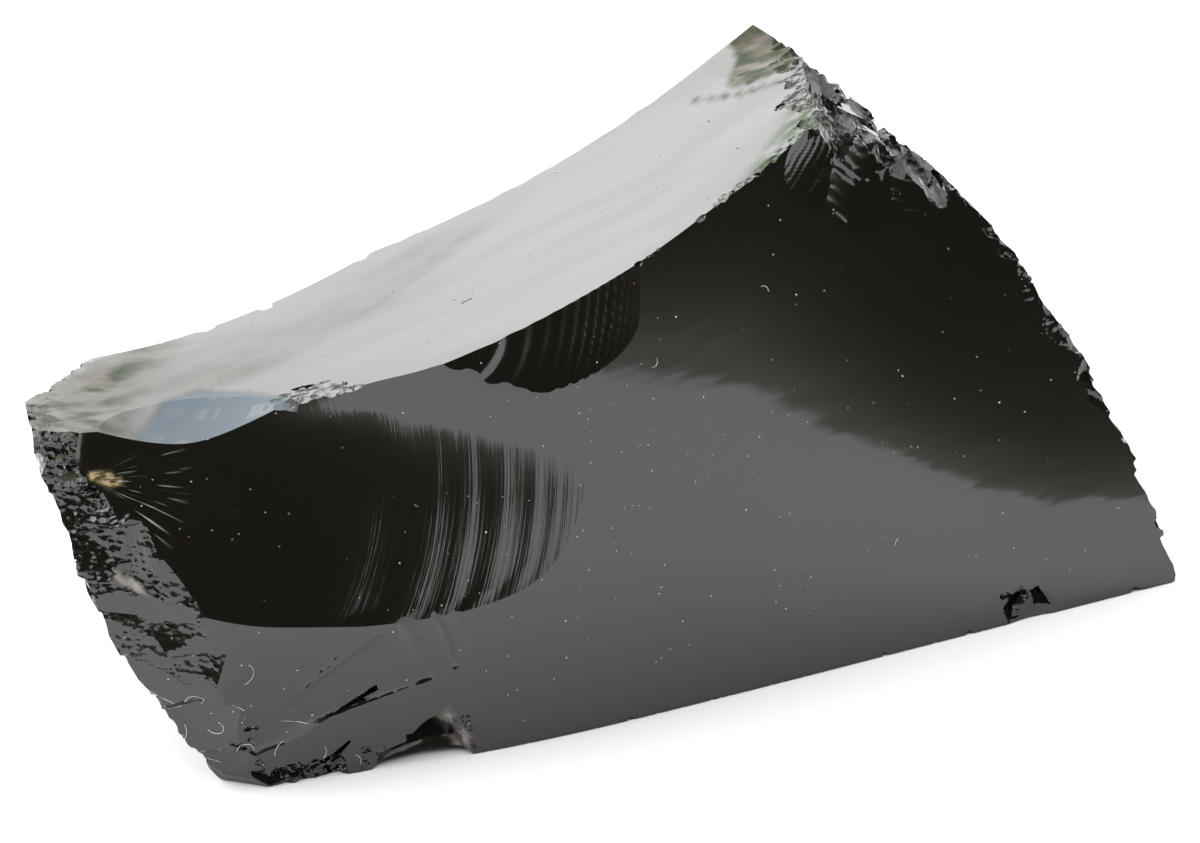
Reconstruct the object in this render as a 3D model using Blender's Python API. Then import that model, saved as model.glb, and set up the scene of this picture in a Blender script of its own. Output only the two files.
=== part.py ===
"""Obsidian chunk: one block of volcanic glass, knapped by hand, resting on its flat underside.

The block is made the way the real one was. Big curved breaks are taken off a rough box first,
then shell-shaped flake scars are struck from the edges, and last the edges are crushed and nicked.
Every break is a curved sheet that is swept outwards and cut away.

Sizes are in millimetres in the stone's working frame: X runs along the foot of the front face from
its left corner, Y runs away to the back, Z is up from the table. The finished mesh is moved so that
the origin is under the middle of the stone.
"""

import math
import random

import bmesh
import bpy
import numpy as np
from mathutils import Euler, Vector

MM = 0.001  # metres in one millimetre

NAME = "obsidian_chunk"
SEED = 11

# Rough box that the breaks are taken off: lowest and highest corner.
ROUGH_LOW = (-32.0, -14.0, 0.0)
ROUGH_HIGH = (116.0, 60.0, 70.0)

# Middle of the finished stone's footprint, which becomes the origin.
MIDDLE = (42.55, 21.06)

# Front face: it leans back more towards its upper right, and bulges forward in plan.
FRONT_LEAN = 0.29  # run per rise along the line where the lean is 16 degrees
FRONT_CURL = 0.005  # change of that slope for each mm above or below the line
LEAN_LINE_LOW = 3.5  # height of that line at the right end
LEAN_LINE_RISE = 39.5  # how much higher it is at the left end
LEAN_LINE_X = 63.0
LEAN_LINE_SPREAD = 12.0
FRONT_BULGE = 4.2
FRONT_BULGE_RUN = 18.0

# Top face: a long hollow that climbs to the right and falls away to the back.
TOP_HEIGHT = 37.9
TOP_SWEEP = (0.0058, -0.000034)  # square and cube terms of its climb along X
TOP_FALL = 0.22  # fall per mm towards the back at the left end
TOP_FALL_GAIN = 0.0006  # added to the fall for each mm to the right
TOP_EDGE = (5.4, -0.0886, 0.00126, 0.000025)  # Y of its front edge as a cubic in X

# Back face.
BACK_Y = 40.3
BACK_SPREAD = 5.3  # how far its ends lie before and behind BACK_Y
BACK_TURN_X = 28.0
BACK_TURN_RUN = 22.0
BACK_CURVE = (0.12, -0.0045)  # slope and curl measured down from its upper edge
BACK_EDGE_Z = 45.0

# Left end: an undercut side, and the facet between it and the front.
FACET_OUT = 7.6
FACET_FOOT = 7.0
FACET_CURL = 0.0023
FACET_TURN = 1.2
SIDE_OUT = 18.1
SIDE_HEIGHT = 37.2
SIDE_POWER = 1.9
SIDE_TURN = 0.25

# Right end: a convex side that leans in towards the top.
RIGHT_X = 101.0
RIGHT_CURVE = (-0.14, -0.0058)
RIGHT_TURN = -0.115

# Back left shoulder and top right crest, each a nearly flat break through one point.
SHOULDER_POINT = (-15.7, 21.3)
SHOULDER_TURN = 1.2
CREST_POINT = (67.3, 10.7, 54.3)
CREST_SLOPE = (-0.70, 0.11)


def front(x, z):
    """Y of the front face."""
    line = LEAN_LINE_LOW + LEAN_LINE_RISE / (1 + np.exp((x - LEAN_LINE_X) / LEAN_LINE_SPREAD))
    bulge = FRONT_BULGE * np.tanh(np.maximum(x, 0) / FRONT_BULGE_RUN) ** 2
    return FRONT_LEAN * z + FRONT_CURL * (z * z / 2 - line * z) - bulge


def top(x, y):
    """Z of the top face."""
    edge = sum(c * x**n for n, c in enumerate(TOP_EDGE))
    fall = TOP_FALL + TOP_FALL_GAIN * np.maximum(x, 0)
    return TOP_HEIGHT + TOP_SWEEP[0] * x**2 + TOP_SWEEP[1] * x**3 - fall * (y - edge)


def back(x, z):
    """Y of the back face."""
    drop = BACK_EDGE_Z - z
    turn = np.tanh((x - BACK_TURN_X) / BACK_TURN_RUN)
    return BACK_Y + BACK_SPREAD * turn + BACK_CURVE[0] * drop + BACK_CURVE[1] * drop**2


def facet(y, z):
    """X of the facet between the front and the left side."""
    out = FACET_OUT * (1 - np.exp(-z / FACET_FOOT)) + FACET_CURL * np.maximum(z - 20, 0) ** 2
    return -out - FACET_TURN * (y - 1 - 0.13 * z)


def side(y, z):
    """X of the undercut left side."""
    out = SIDE_OUT * (1 - np.clip(1 - z / SIDE_HEIGHT, 0, None) ** SIDE_POWER)
    turn = SIDE_TURN + 0.3 * np.clip((20 - z) / 20, 0, 1)
    return -out + turn * (y - 9)


def right(y, z):
    """X of the right end."""
    return RIGHT_X + RIGHT_CURVE[0] * z + RIGHT_CURVE[1] * z * z + RIGHT_TURN * (y - 6)


def shoulder(x, z):
    """Y of the back left shoulder, slightly hollow from top to bottom."""
    return SHOULDER_POINT[1] + SHOULDER_TURN * (x - SHOULDER_POINT[0]) + 0.002 * (z - 16) ** 2


def crest(x, y):
    """Z of the crushed crest at the top right."""
    return CREST_POINT[2] + CREST_SLOPE[0] * (x - CREST_POINT[0]) + CREST_SLOPE[1] * (y - CREST_POINT[1])


# Each face: the axis that its function gives, the way out of the stone along it, and the function,
# which takes the other two coordinates in order.
FACES = {
    "front": (1, -1, front),
    "top": (2, 1, top),
    "back": (1, 1, back),
    "facet": (0, -1, facet),
    "side": (0, -1, side),
    "right": (0, 1, right),
    "shoulder": (1, 1, shoulder),
    "crest": (2, 1, crest),
}


def clear_scene():
    for thing in list(bpy.data.objects):
        bpy.data.objects.remove(thing)


def collection(name, hidden=False):
    made = bpy.data.collections.new(name)
    made.hide_render = hidden
    bpy.context.scene.collection.children.link(made)
    return made


def move_to(thing, group):
    for old in list(thing.users_collection):
        old.objects.unlink(thing)
    group.objects.link(thing)


def rough_box():
    low, high = Vector(ROUGH_LOW) * MM, Vector(ROUGH_HIGH) * MM
    bpy.ops.mesh.primitive_cube_add(size=1, location=(low + high) / 2)
    box = bpy.context.object
    box.dimensions = high - low
    bpy.ops.object.transform_apply(location=True, rotation=True, scale=True)
    box.name = NAME
    return box


def volume(mesh):
    """Volume of a closed mesh, or None if an edge doesn't join exactly two faces."""
    shape = bmesh.new()
    shape.from_mesh(mesh)
    closed = all(edge.is_manifold for edge in shape.edges)
    size = shape.calc_volume()
    shape.free()
    return size if closed else None


def cut(stone, cutter, cutters):
    """Takes the cutter off the stone, and keeps it hidden.

    Where the exact solver leaves an open mesh, or takes more than the cutter, the blow is made again
    with the other solver.
    """
    move_to(cutter, cutters)
    cutter.hide_render = True
    cutter.display_type = "WIRE"
    bpy.ops.object.select_all(action="DESELECT")
    bpy.context.view_layer.objects.active = stone
    before = stone.data.copy()
    least = (volume(before) - volume(cutter.data)) * 0.999
    for solver in ("EXACT", "MANIFOLD"):
        tried = stone.data
        stone.data = before.copy()
        bpy.data.meshes.remove(tried)
        blow = stone.modifiers.new(cutter.name, "BOOLEAN")
        blow.operation = "DIFFERENCE"
        blow.solver = solver
        blow.object = cutter
        bpy.ops.object.modifier_apply(modifier=blow.name)
        left = volume(stone.data)
        if left is not None and left > least:
            break
    bpy.data.meshes.remove(before)
    cutter.hide_set(True)


def sheet(name, face, area, step, depth=None, reach=60.0):
    """A closed slab whose inner side is the face, or lies deeper than it by depth(a, b)."""
    axis, way, surface = FACES[face]
    (a_low, a_high), (b_low, b_high) = area
    bpy.ops.mesh.primitive_grid_add(
        x_subdivisions=max(2, round((a_high - a_low) / step)),
        y_subdivisions=max(2, round((b_high - b_low) / step)),
        size=2,
    )
    slab = bpy.context.object
    slab.name = name
    flat = np.array([v.co[:] for v in slab.data.vertices])
    a = a_low + (flat[:, 0] + 1) / 2 * (a_high - a_low)
    b = b_low + (flat[:, 1] + 1) / 2 * (b_high - b_low)
    c = surface(a, b)
    if depth is not None:
        c = c - way * depth(a, b)
    places = np.insert(np.stack([a, b], axis=1), axis, c, axis=1)
    for vertex, place in zip(slab.data.vertices, places):
        vertex.co = Vector(place) * MM
    sweep = [0.0, 0.0, 0.0]
    sweep[axis] = way * reach * MM
    bpy.ops.object.mode_set(mode="EDIT")
    bpy.ops.mesh.select_all(action="SELECT")
    bpy.ops.mesh.extrude_region_move(TRANSFORM_OT_translate={"value": sweep})
    bpy.ops.mesh.select_all(action="SELECT")
    bpy.ops.mesh.normals_make_consistent(inside=False)
    bpy.ops.object.mode_set(mode="OBJECT")
    return slab


def closed_curve(points, strike):
    """Radius from the strike point at any angle, for a smooth closed outline through the points."""
    polar = sorted((math.atan2(b - strike[1], a - strike[0]), math.dist((a, b), strike)) for a, b in points)
    turn = np.array([p[0] for p in polar])
    span = np.array([p[1] for p in polar])
    turn = np.concatenate([turn[-2:] - 2 * math.pi, turn, turn[:2] + 2 * math.pi])
    span = np.concatenate([span[-2:], span, span[:2]])
    lean = (span[2:] - span[:-2]) / (turn[2:] - turn[:-2])

    def radius(angle):
        k = np.clip(np.searchsorted(turn, angle, side="right") - 1, 1, len(turn) - 3)
        run = turn[k + 1] - turn[k]
        t = (angle - turn[k]) / run
        start = (2 * t**3 - 3 * t**2 + 1) * span[k] + (t**3 - 2 * t**2 + t) * lean[k - 1] * run
        end = (3 * t**2 - 2 * t**3) * span[k + 1] + (t**3 - t**2) * lean[k] * run
        return start + end

    return radius


LEAST_DEPTH = 0.3  # share of its bite that a leaning scar keeps


def flake(strike, outline, bite, lean=(0.0, 0.0), power=1.5, waves=None):
    """Depth of a flake scar. It is deepest at the strike point and runs out at the outline.

    lean adds to the bite along both directions. waves is (first radius, spacing, height) of the
    rings that run out from the strike.
    """
    edge = closed_curve(outline, strike)

    def depth(a, b):
        da, db = a - strike[0], b - strike[1]
        away = np.hypot(da, db)
        part = away / edge(np.arctan2(db, da))
        deep = np.maximum(bite + lean[0] * da + lean[1] * db, LEAST_DEPTH * bite)
        scar = deep * (1 - part**power)
        if waves is not None:
            first, spacing, height = waves
            grow = np.clip((away - first) / (2 * spacing), 0, 1) * np.clip((1 - part) / 0.06, 0, 1)
            scar = scar + height * grow * np.sin(2 * math.pi * (away - first) / spacing)
        return scar

    return depth


def bowl(centre, half, bite, turn=0.0, power=1.6):
    """Depth of a plain oval scar: half is its half length and half width, turned by turn degrees."""
    cos, sin = math.cos(math.radians(turn)), math.sin(math.radians(turn))

    def depth(a, b):
        along = (a - centre[0]) * cos + (b - centre[1]) * sin
        across = (b - centre[1]) * cos - (a - centre[0]) * sin
        return bite * (1 - np.hypot(along / half[0], across / half[1]) ** power)

    return depth


def around(centre, half, margin=1.25):
    """Square area that holds an oval scar at any turn."""
    reach = max(half) * margin
    return ((centre[0] - reach, centre[0] + reach), (centre[1] - reach, centre[1] + reach))


def left_edge_point(z):
    """The point at this height where the facet meets the left side: both are measured along X."""
    low, high = -10.0, 30.0
    for _ in range(30):
        y = (low + high) / 2
        if facet(y, z) > side(y, z):
            low = y
        else:
            high = y
    return Vector((float(facet(y, z)), y, z))


def edge_point(faces, fixed, value):
    """The point where two faces meet, with one coordinate given. None stands for the table."""
    if faces == ("facet", "side"):
        return left_edge_point(value)
    point = [20.0, 10.0, 20.0]
    point[fixed] = value
    for _ in range(40):
        for face in faces:
            if face is None:
                point[2] = 0.0
                continue
            axis, _, surface = FACES[face]
            rest = [point[n] for n in range(3) if n != axis]
            point[axis] = float(surface(*rest))
    return Vector(point)


def chip(name, place, half, turn):
    """A small rounded cutter of a few flat faces, as volcanic glass chips along an edge."""
    bpy.ops.mesh.primitive_ico_sphere_add(
        subdivisions=1, radius=MM, location=place * MM, rotation=Euler(turn), scale=half
    )
    bite = bpy.context.object
    bite.name = name
    bpy.ops.object.transform_apply(location=True, rotation=True, scale=True)
    return bite


# The big breaks: face, area that its sheet covers in the face's own two coordinates, grid step.
BREAKS = (
    ("front", ((-40, 120), (-8, 74)), 4.0),
    ("top", ((-40, 120), (-20, 64)), 5.0),
    ("back", ((-40, 120), (-8, 74)), 6.5),
    ("side", ((-20, 64), (-8, 74)), 6.0),
    ("facet", ((-20, 20), (-8, 60)), 4.0),
    ("right", ((-20, 64), (-8, 74)), 6.0),
    ("shoulder", ((-40, 8), (-8, 60)), 8.0),
    ("crest", ((60, 110), (-12, 60)), 8.0),
)

# Struck scars with a drawn outline, all on the front face: X and Z.
GREAT_STRIKE = (-13.0, 33.5)
GREAT_OUTLINE = (
    (-13.6, 28.0), (-11.5, 23.6), (-8.9, 21.8), (-4.7, 20.0), (3.2, 17.0), (9.2, 16.0),
    (18.2, 15.6), (22.2, 15.8), (28.5, 17.2), (32.3, 20.1), (35.2, 25.6), (35.4, 29.7),
    (34.3, 33.0), (31.7, 36.3), (27.0, 40.0), (20.0, 46.0), (8.0, 50.0), (-8.0, 51.0),
    (-14.5, 40.0), (-14.6, 33.0),
)
UPPER_STRIKE = (16.0, 40.0)
UPPER_OUTLINE = (
    (43.5, 46.5), (43.6, 43.2), (42.4, 39.4), (38.3, 36.9), (31.7, 36.0), (27.0, 36.4),
    (22.4, 37.2), (17.6, 38.8), (14.0, 42.0), (18.0, 48.0), (30.0, 53.0), (40.0, 52.0),
)
LOWER_STRIKE = (-2.0, 5.0)
LOWER_OUTLINE = (
    (-3.5, 6.5), (4.6, 9.6), (10.0, 13.7), (15.1, 16.0), (20.3, 17.4), (22.4, 14.2),
    (21.9, 11.2), (19.8, 9.4), (13.8, 8.0), (6.9, 6.4), (0.0, 4.2), (-3.5, 3.0),
)
FOOT_STRIKE = (18.5, 1.0)
FOOT_OUTLINE = (
    (11.0, 0.8), (13.3, 2.2), (15.0, 2.7), (18.9, 4.9), (19.7, 3.4), (20.9, 2.8), (21.3, 0.6),
    (17.0, -4.0),
)

# Plain oval scars: name, face, centre, half sizes, bite and turn in degrees.
BOWLS = (
    ("crescent", "top", (-2.0, 5.0), (10.5, 13.5), 3.2, 0),
    ("tip_scar", "top", (76.5, 37.0), (8.5, 8.0), 1.6, 0),
    ("conchoid", "facet", (6.3, 20.0), (5.4, 5.8), 2.1, 0),
    ("facet_shell_upper", "facet", (7.5, 27.5), (4.4, 3.0), 1.3, 20),
    ("facet_shell_lower", "facet", (4.8, 12.6), (4.0, 3.2), 0.9, 60),
    ("crest_shell_left", "front", (65.8, 49.6), (3.6, 3.4), 0.8, 20),
    ("crest_shell_middle", "front", (71.6, 47.6), (4.6, 5.4), 1.3, -30),
    ("crest_shell_right", "front", (77.6, 46.0), (3.4, 3.8), 1.0, -40),
    ("foot_shell", "front", (84.6, 0.4), (2.8, 2.6), 0.8, 20),
    ("back_shell_high", "back", (55.0, 36.0), (25.0, 20.0), 6.0, 14),
    ("back_shell_low", "back", (22.0, 13.0), (22.0, 15.0), 4.6, -20),
    ("back_shell_end", "back", (86.0, 14.0), (18.0, 12.0), 4.2, 35),
    ("back_shell_foot", "back", (55.0, 4.0), (15.0, 9.0), 3.4, -6),
    ("right_shell_high", "right", (30.0, 34.0), (14.0, 15.0), 3.0, 20),
    ("right_shell_low", "right", (14.0, 9.0), (12.0, 9.0), 1.8, -10),
    ("side_shell", "side", (16.0, 26.0), (6.5, 8.0), 1.8, 15),
    ("shoulder_shell", "shoulder", (-6.0, 14.0), (10.0, 12.0), 2.0, 0),
)

# Crushed and nicked edges: faces that meet, the coordinate that runs along the edge, its two ends,
# how many chips, and the smallest and largest half size of a chip.
EDGES = (
    (("front", "crest"), 0, 66.0, 78.0, 7, 1.0, 2.0),
    (("crest", "right"), 1, 11.0, 40.0, 8, 1.0, 2.2),
    (("front", "right"), 2, 26.0, 46.0, 6, 0.8, 1.6),
    (("front", "right"), 2, 2.0, 22.0, 3, 0.5, 1.0),
    (("facet", "top"), 1, 5.5, 10.0, 5, 0.8, 1.8),
    (("facet", "front"), 2, 22.0, 37.0, 6, 0.8, 1.8),
    (("facet", "side"), 2, 12.0, 37.0, 8, 0.8, 1.9),
    (("side", "top"), 1, 10.0, 21.0, 4, 0.8, 1.6),
    (("top", "front"), 0, 7.0, 17.0, 5, 0.7, 1.3),
    (("top", "front"), 0, 34.0, 62.0, 4, 0.4, 0.9),
    (("top", "back"), 0, 2.0, 72.0, 7, 0.8, 2.0),
    (("top", "shoulder"), 0, -13.0, -3.0, 3, 0.8, 1.6),
    (("front", None), 0, -1.5, 9.0, 3, 0.5, 1.1),
    (("front", None), 0, 70.0, 98.0, 3, 0.4, 0.9),
    (("back", None), 0, 6.0, 90.0, 6, 0.8, 1.8),
    (("right", None), 1, 4.0, 34.0, 3, 0.7, 1.4),
)
CHIP_SINK = 0.45  # share of its half size that a chip's middle lies outside the edge
CHIP_CENTRE = Vector((41.8, 21.1, 24.0))  # the chips lie outwards from here

# Nick that lifts the foot of the front face off the table: middle and half sizes.
FOOT_NICK_MIDDLE = (16.4, -2.4, -0.6)
FOOT_NICK_HALF = (6.4, 5.0, 2.2)


def take_big_breaks(stone, cutters):
    for face, area, step in BREAKS:
        cut(stone, sheet(face + "_break", face, area, step, reach=110.0), cutters)


def strike_scars(stone, cutters):
    great = flake(GREAT_STRIKE, GREAT_OUTLINE, 4.9, (-0.03, 0.18), 2.9, waves=(28.0, 4.2, 0.12))
    cut(stone, sheet("great_scar", "front", ((-20, 38), (12, 50)), 1.7, great), cutters)
    upper = flake(UPPER_STRIKE, UPPER_OUTLINE, 1.3, (0.0, 0.12), 1.5)
    cut(stone, sheet("upper_scar", "front", ((12, 46), (34, 52)), 2.4, upper), cutters)
    lower = flake(LOWER_STRIKE, LOWER_OUTLINE, 0.4, (0.0, 0.0), 2.2)
    cut(stone, sheet("lower_scar", "front", ((-5, 25), (1, 20)), 2.4, lower), cutters)
    foot = flake(FOOT_STRIKE, FOOT_OUTLINE, 1.0, (0.0, 0.3), 5.0)
    cut(stone, sheet("foot_scar", "front", ((9, 23), (-6, 7)), 1.2, foot), cutters)
    for name, face, centre, half, bite, turn in BOWLS:
        scar = bowl(centre, half, bite, turn)
        step = max(half) / 5
        cut(stone, sheet(name, face, around(centre, half), step, scar, reach=30.0), cutters)


def crush_edges(stone, cutters):
    chance = random.Random(SEED)
    for row, (faces, fixed, start, end, count, small, large) in enumerate(EDGES):
        for n in range(count):
            along = start + (end - start) * (n + chance.uniform(0.1, 0.9)) / count
            size = chance.uniform(small, large)
            half = [size * chance.uniform(0.8, 1.5) for _ in range(3)]
            turn = [chance.uniform(0, math.pi) for _ in range(3)]
            edge = edge_point(faces, fixed, along)
            out = (edge - CHIP_CENTRE).normalized()
            place = edge + out * size * CHIP_SINK
            cut(stone, chip(f"chip_{row}_{n}", place, half, turn), cutters)
    nick = chip("foot_nick", Vector(FOOT_NICK_MIDDLE), FOOT_NICK_HALF, (0.0, 0.0, 0.1))
    cut(stone, nick, cutters)


def finish_mesh(stone):
    """Joins the slivers that the cuts leave, and puts the origin under the middle of the stone."""
    bpy.ops.object.select_all(action="DESELECT")
    stone.select_set(True)
    bpy.context.view_layer.objects.active = stone
    bpy.ops.object.mode_set(mode="EDIT")
    bpy.ops.mesh.select_all(action="SELECT")
    bpy.ops.mesh.remove_doubles(threshold=0.00004)
    bpy.ops.mesh.dissolve_degenerate(threshold=0.00004)
    bpy.ops.mesh.select_all(action="SELECT")
    bpy.ops.mesh.quads_convert_to_tris(quad_method="BEAUTY", ngon_method="BEAUTY")
    bpy.ops.object.mode_set(mode="OBJECT")
    for vertex in stone.data.vertices:
        vertex.co.x -= MIDDLE[0] * MM
        vertex.co.y -= MIDDLE[1] * MM
    stone.data.shade_smooth()
    stone.data.set_sharp_from_angle(angle=math.radians(24))


def obsidian():
    glass = bpy.data.materials.new("obsidian")
    glass.use_nodes = True
    shader = glass.node_tree.nodes["Principled BSDF"]
    shader.inputs["Base Color"].default_value = (0.006, 0.006, 0.005, 1.0)
    shader.inputs["Roughness"].default_value = 0.06
    shader.inputs["IOR"].default_value = 1.5
    glass.diffuse_color = (0.05, 0.05, 0.055, 1.0)
    return glass


def main():
    clear_scene()
    parts = collection(NAME)
    cutters = collection("cutters", hidden=True)
    stone = rough_box()
    move_to(stone, parts)
    take_big_breaks(stone, cutters)
    strike_scars(stone, cutters)
    crush_edges(stone, cutters)
    finish_mesh(stone)
    stone.data.materials.clear()
    stone.data.materials.append(obsidian())


main()
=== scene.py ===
"""Obsidian chunk: the finished look of one block of hand-knapped volcanic glass.

The block is knapped finer than its solid. The big curved breaks come first, then the shell-shaped
flake scars with their ripples, the chipped and crushed edges, the shelled ground and the gouges low
on the front. Dust and curled lint lie on it.

Sizes are in millimetres in the stone's working frame: X runs along the foot of the front face
from its left corner, Y runs away to the back, Z is up. Each finished piece is moved so that the
origin is under the middle of the stone.
"""

import math
import random
from contextlib import contextmanager

import bmesh
import bpy
import numpy as np
from mathutils import Euler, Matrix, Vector


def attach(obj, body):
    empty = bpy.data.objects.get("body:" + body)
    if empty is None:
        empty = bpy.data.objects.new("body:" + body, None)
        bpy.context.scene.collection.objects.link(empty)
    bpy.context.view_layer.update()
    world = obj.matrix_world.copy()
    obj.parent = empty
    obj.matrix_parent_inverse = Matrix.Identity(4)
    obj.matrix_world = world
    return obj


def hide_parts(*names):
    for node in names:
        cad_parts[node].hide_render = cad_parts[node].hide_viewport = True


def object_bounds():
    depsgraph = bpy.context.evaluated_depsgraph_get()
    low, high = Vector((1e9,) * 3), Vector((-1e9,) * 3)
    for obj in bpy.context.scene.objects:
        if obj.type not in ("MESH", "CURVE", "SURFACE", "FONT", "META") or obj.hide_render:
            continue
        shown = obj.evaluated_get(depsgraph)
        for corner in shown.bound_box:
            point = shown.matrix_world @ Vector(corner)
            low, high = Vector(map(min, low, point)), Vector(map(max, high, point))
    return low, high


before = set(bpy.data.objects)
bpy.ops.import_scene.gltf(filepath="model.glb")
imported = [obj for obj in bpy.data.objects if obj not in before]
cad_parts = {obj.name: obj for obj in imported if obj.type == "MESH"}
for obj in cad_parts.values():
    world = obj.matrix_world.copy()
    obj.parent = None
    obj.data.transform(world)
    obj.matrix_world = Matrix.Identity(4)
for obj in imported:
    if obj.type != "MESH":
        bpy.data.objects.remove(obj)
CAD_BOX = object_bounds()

MM = 0.001  # metres in one millimetre
SEED = 11
NODE = "obsidian_chunk"

ROUGH_LOW = (-32.0, -14.0, 0.0)
ROUGH_HIGH = (116.0, 60.0, 70.0)
MIDDLE = (42.55, 21.06, 0.0)  # under the middle of the stone

# Front face: it leans back more towards its upper right, and bulges forward in plan.
FRONT_LEAN = 0.29
FRONT_CURL = 0.005
LEAN_LINE_LOW = 3.5
LEAN_LINE_RISE = 39.5
LEAN_LINE_X = 63.0
LEAN_LINE_SPREAD = 12.0
FRONT_BULGE = 4.2
FRONT_BULGE_RUN = 18.0

# Top face: a long hollow that climbs to the right and falls away to the back.
TOP_HEIGHT = 37.9
TOP_SWEEP = (0.0058, -0.000034)
TOP_FALL = 0.22
TOP_FALL_GAIN = 0.0006
TOP_EDGE = (5.4, -0.0886, 0.00126, 0.000025)

# Back face.
BACK_Y = 40.3
BACK_SPREAD = 5.3
BACK_TURN_X = 28.0
BACK_TURN_RUN = 22.0
BACK_CURVE = (0.12, -0.0045)
BACK_EDGE_Z = 45.0

# Left end: an undercut side, and the facet between it and the front.
FACET_OUT = 7.6
FACET_FOOT = 7.0
FACET_CURL = 0.0023
FACET_CURL_FROM = 20.0
FACET_TURN = 1.2
FACET_LINE = (1.0, 0.13)
SIDE_OUT = 18.1
SIDE_HEIGHT = 37.2
SIDE_POWER = 1.9
SIDE_TURN = 0.25
SIDE_TWIST = 0.3
SIDE_TWIST_BELOW = 20.0
SIDE_Y = 9.0

# Right end: a convex side that leans in towards the top.
RIGHT_X = 101.0
RIGHT_CURVE = (-0.14, -0.0058)
RIGHT_TURN = -0.115
RIGHT_Y = 6.0

# Back left shoulder and top right crest.
SHOULDER_POINT = (-15.7, 21.3)
SHOULDER_TURN = 1.2
SHOULDER_CURVE = 0.002
SHOULDER_MIDDLE = 16.0
CREST_POINT = (67.3, 10.7, 54.3)
CREST_SLOPE = (-0.70, 0.11)


# ---------------------------------------------------------------- faces


def front(x, z):
    """Y of the front face."""
    line = LEAN_LINE_LOW + LEAN_LINE_RISE / (1 + np.exp((x - LEAN_LINE_X) / LEAN_LINE_SPREAD))
    bulge = FRONT_BULGE * np.tanh(np.maximum(x, 0) / FRONT_BULGE_RUN) ** 2
    return FRONT_LEAN * z + FRONT_CURL * (z * z / 2 - line * z) - bulge


def top(x, y):
    """Z of the top face."""
    edge = sum(c * x**n for n, c in enumerate(TOP_EDGE))
    fall = TOP_FALL + TOP_FALL_GAIN * np.maximum(x, 0)
    return TOP_HEIGHT + TOP_SWEEP[0] * x**2 + TOP_SWEEP[1] * x**3 - fall * (y - edge)


def back(x, z):
    """Y of the back face."""
    drop = BACK_EDGE_Z - z
    turn = np.tanh((x - BACK_TURN_X) / BACK_TURN_RUN)
    return BACK_Y + BACK_SPREAD * turn + BACK_CURVE[0] * drop + BACK_CURVE[1] * drop**2


def facet(y, z):
    """X of the facet between the front and the left side."""
    curl = FACET_CURL * np.maximum(z - FACET_CURL_FROM, 0) ** 2
    out = FACET_OUT * (1 - np.exp(-z / FACET_FOOT)) + curl
    return -out - FACET_TURN * (y - FACET_LINE[0] - FACET_LINE[1] * z)


def side(y, z):
    """X of the undercut left side."""
    out = SIDE_OUT * (1 - np.clip(1 - z / SIDE_HEIGHT, 0, None) ** SIDE_POWER)
    turn = SIDE_TURN + SIDE_TWIST * np.clip((SIDE_TWIST_BELOW - z) / SIDE_TWIST_BELOW, 0, 1)
    return -out + turn * (y - SIDE_Y)


def right(y, z):
    """X of the right end."""
    return RIGHT_X + RIGHT_CURVE[0] * z + RIGHT_CURVE[1] * z * z + RIGHT_TURN * (y - RIGHT_Y)


def shoulder(x, z):
    """Y of the back left shoulder."""
    curve = SHOULDER_CURVE * (z - SHOULDER_MIDDLE) ** 2
    return SHOULDER_POINT[1] + SHOULDER_TURN * (x - SHOULDER_POINT[0]) + curve


def crest(x, y):
    """Z of the crushed crest at the top right."""
    dx, dy = x - CREST_POINT[0], y - CREST_POINT[1]
    return CREST_POINT[2] + CREST_SLOPE[0] * dx + CREST_SLOPE[1] * dy


# Each face: the axis it is measured along, which way it looks along that axis, and its surface over
# the other two coordinates.
FACES = {
    "front": (1, -1, front),
    "top": (2, 1, top),
    "back": (1, 1, back),
    "facet": (0, -1, facet),
    "side": (0, -1, side),
    "right": (0, 1, right),
    "shoulder": (1, 1, shoulder),
    "crest": (2, 1, crest),
}


# ---------------------------------------------------------------- relief


FLOW_WAVES = 7
WAVER_ROUNDS = (0, 6.3)


def flow(a, b, run, across, height, seed):
    """Low uneven waves, drawn out along the first direction: run and across are their lengths."""
    chance = random.Random(seed)
    total = 0.0
    for _ in range(FLOW_WAVES):
        turn = chance.uniform(-0.25, 0.25)
        pitch = across * chance.uniform(0.6, 1.9)
        bend = run * chance.uniform(0.7, 1.5)
        shift = chance.uniform(0, 2 * math.pi)
        line = (b + turn * a) / pitch + 0.4 * np.sin(2 * math.pi * a / bend + shift)
        total = total + np.sin(2 * math.pi * line + 3 * shift) * pitch / across
    return height * total / FLOW_WAVES


def chances(chance, count, rates, sizes):
    """Rate, size and shift of each of some uneven waves."""
    return [
        (chance.uniform(*rates), chance.uniform(*sizes), chance.uniform(*WAVER_ROUNDS))
        for _ in range(count)
    ]


def from_strike(a, b, strike, wobble):
    """How far each place is from the strike, and how the ripples waver there."""
    da, db = a - strike[0], b - strike[1]
    turn = np.arctan2(db, da)
    waver = sum(size * np.sin(rate * turn + shift) for rate, size, shift in wobble)
    return np.hypot(da, db), waver


def beating(beats, phase):
    return sum(size / rate * np.sin(rate * phase + shift) for rate, size, shift in beats)


def rings(strike, first, spacing, height, seed):
    """Ripples that run out from a strike. They waver a little and change in strength as they go."""
    chance = random.Random(seed)
    wobble = chances(chance, 5, (1.5, 7.0), (0.05, 0.22))
    beats = chances(chance, 4, (0.55, 1.7), (0.3, 1.0))

    def wave(a, b):
        away, waver = from_strike(a, b, strike, wobble)
        phase = 2 * math.pi * (away - first) / spacing + 2 * math.pi * waver
        grow = np.clip((away - first) / (2 * spacing), 0, 1)
        return height * grow * beating(beats, phase)

    return wave


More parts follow.
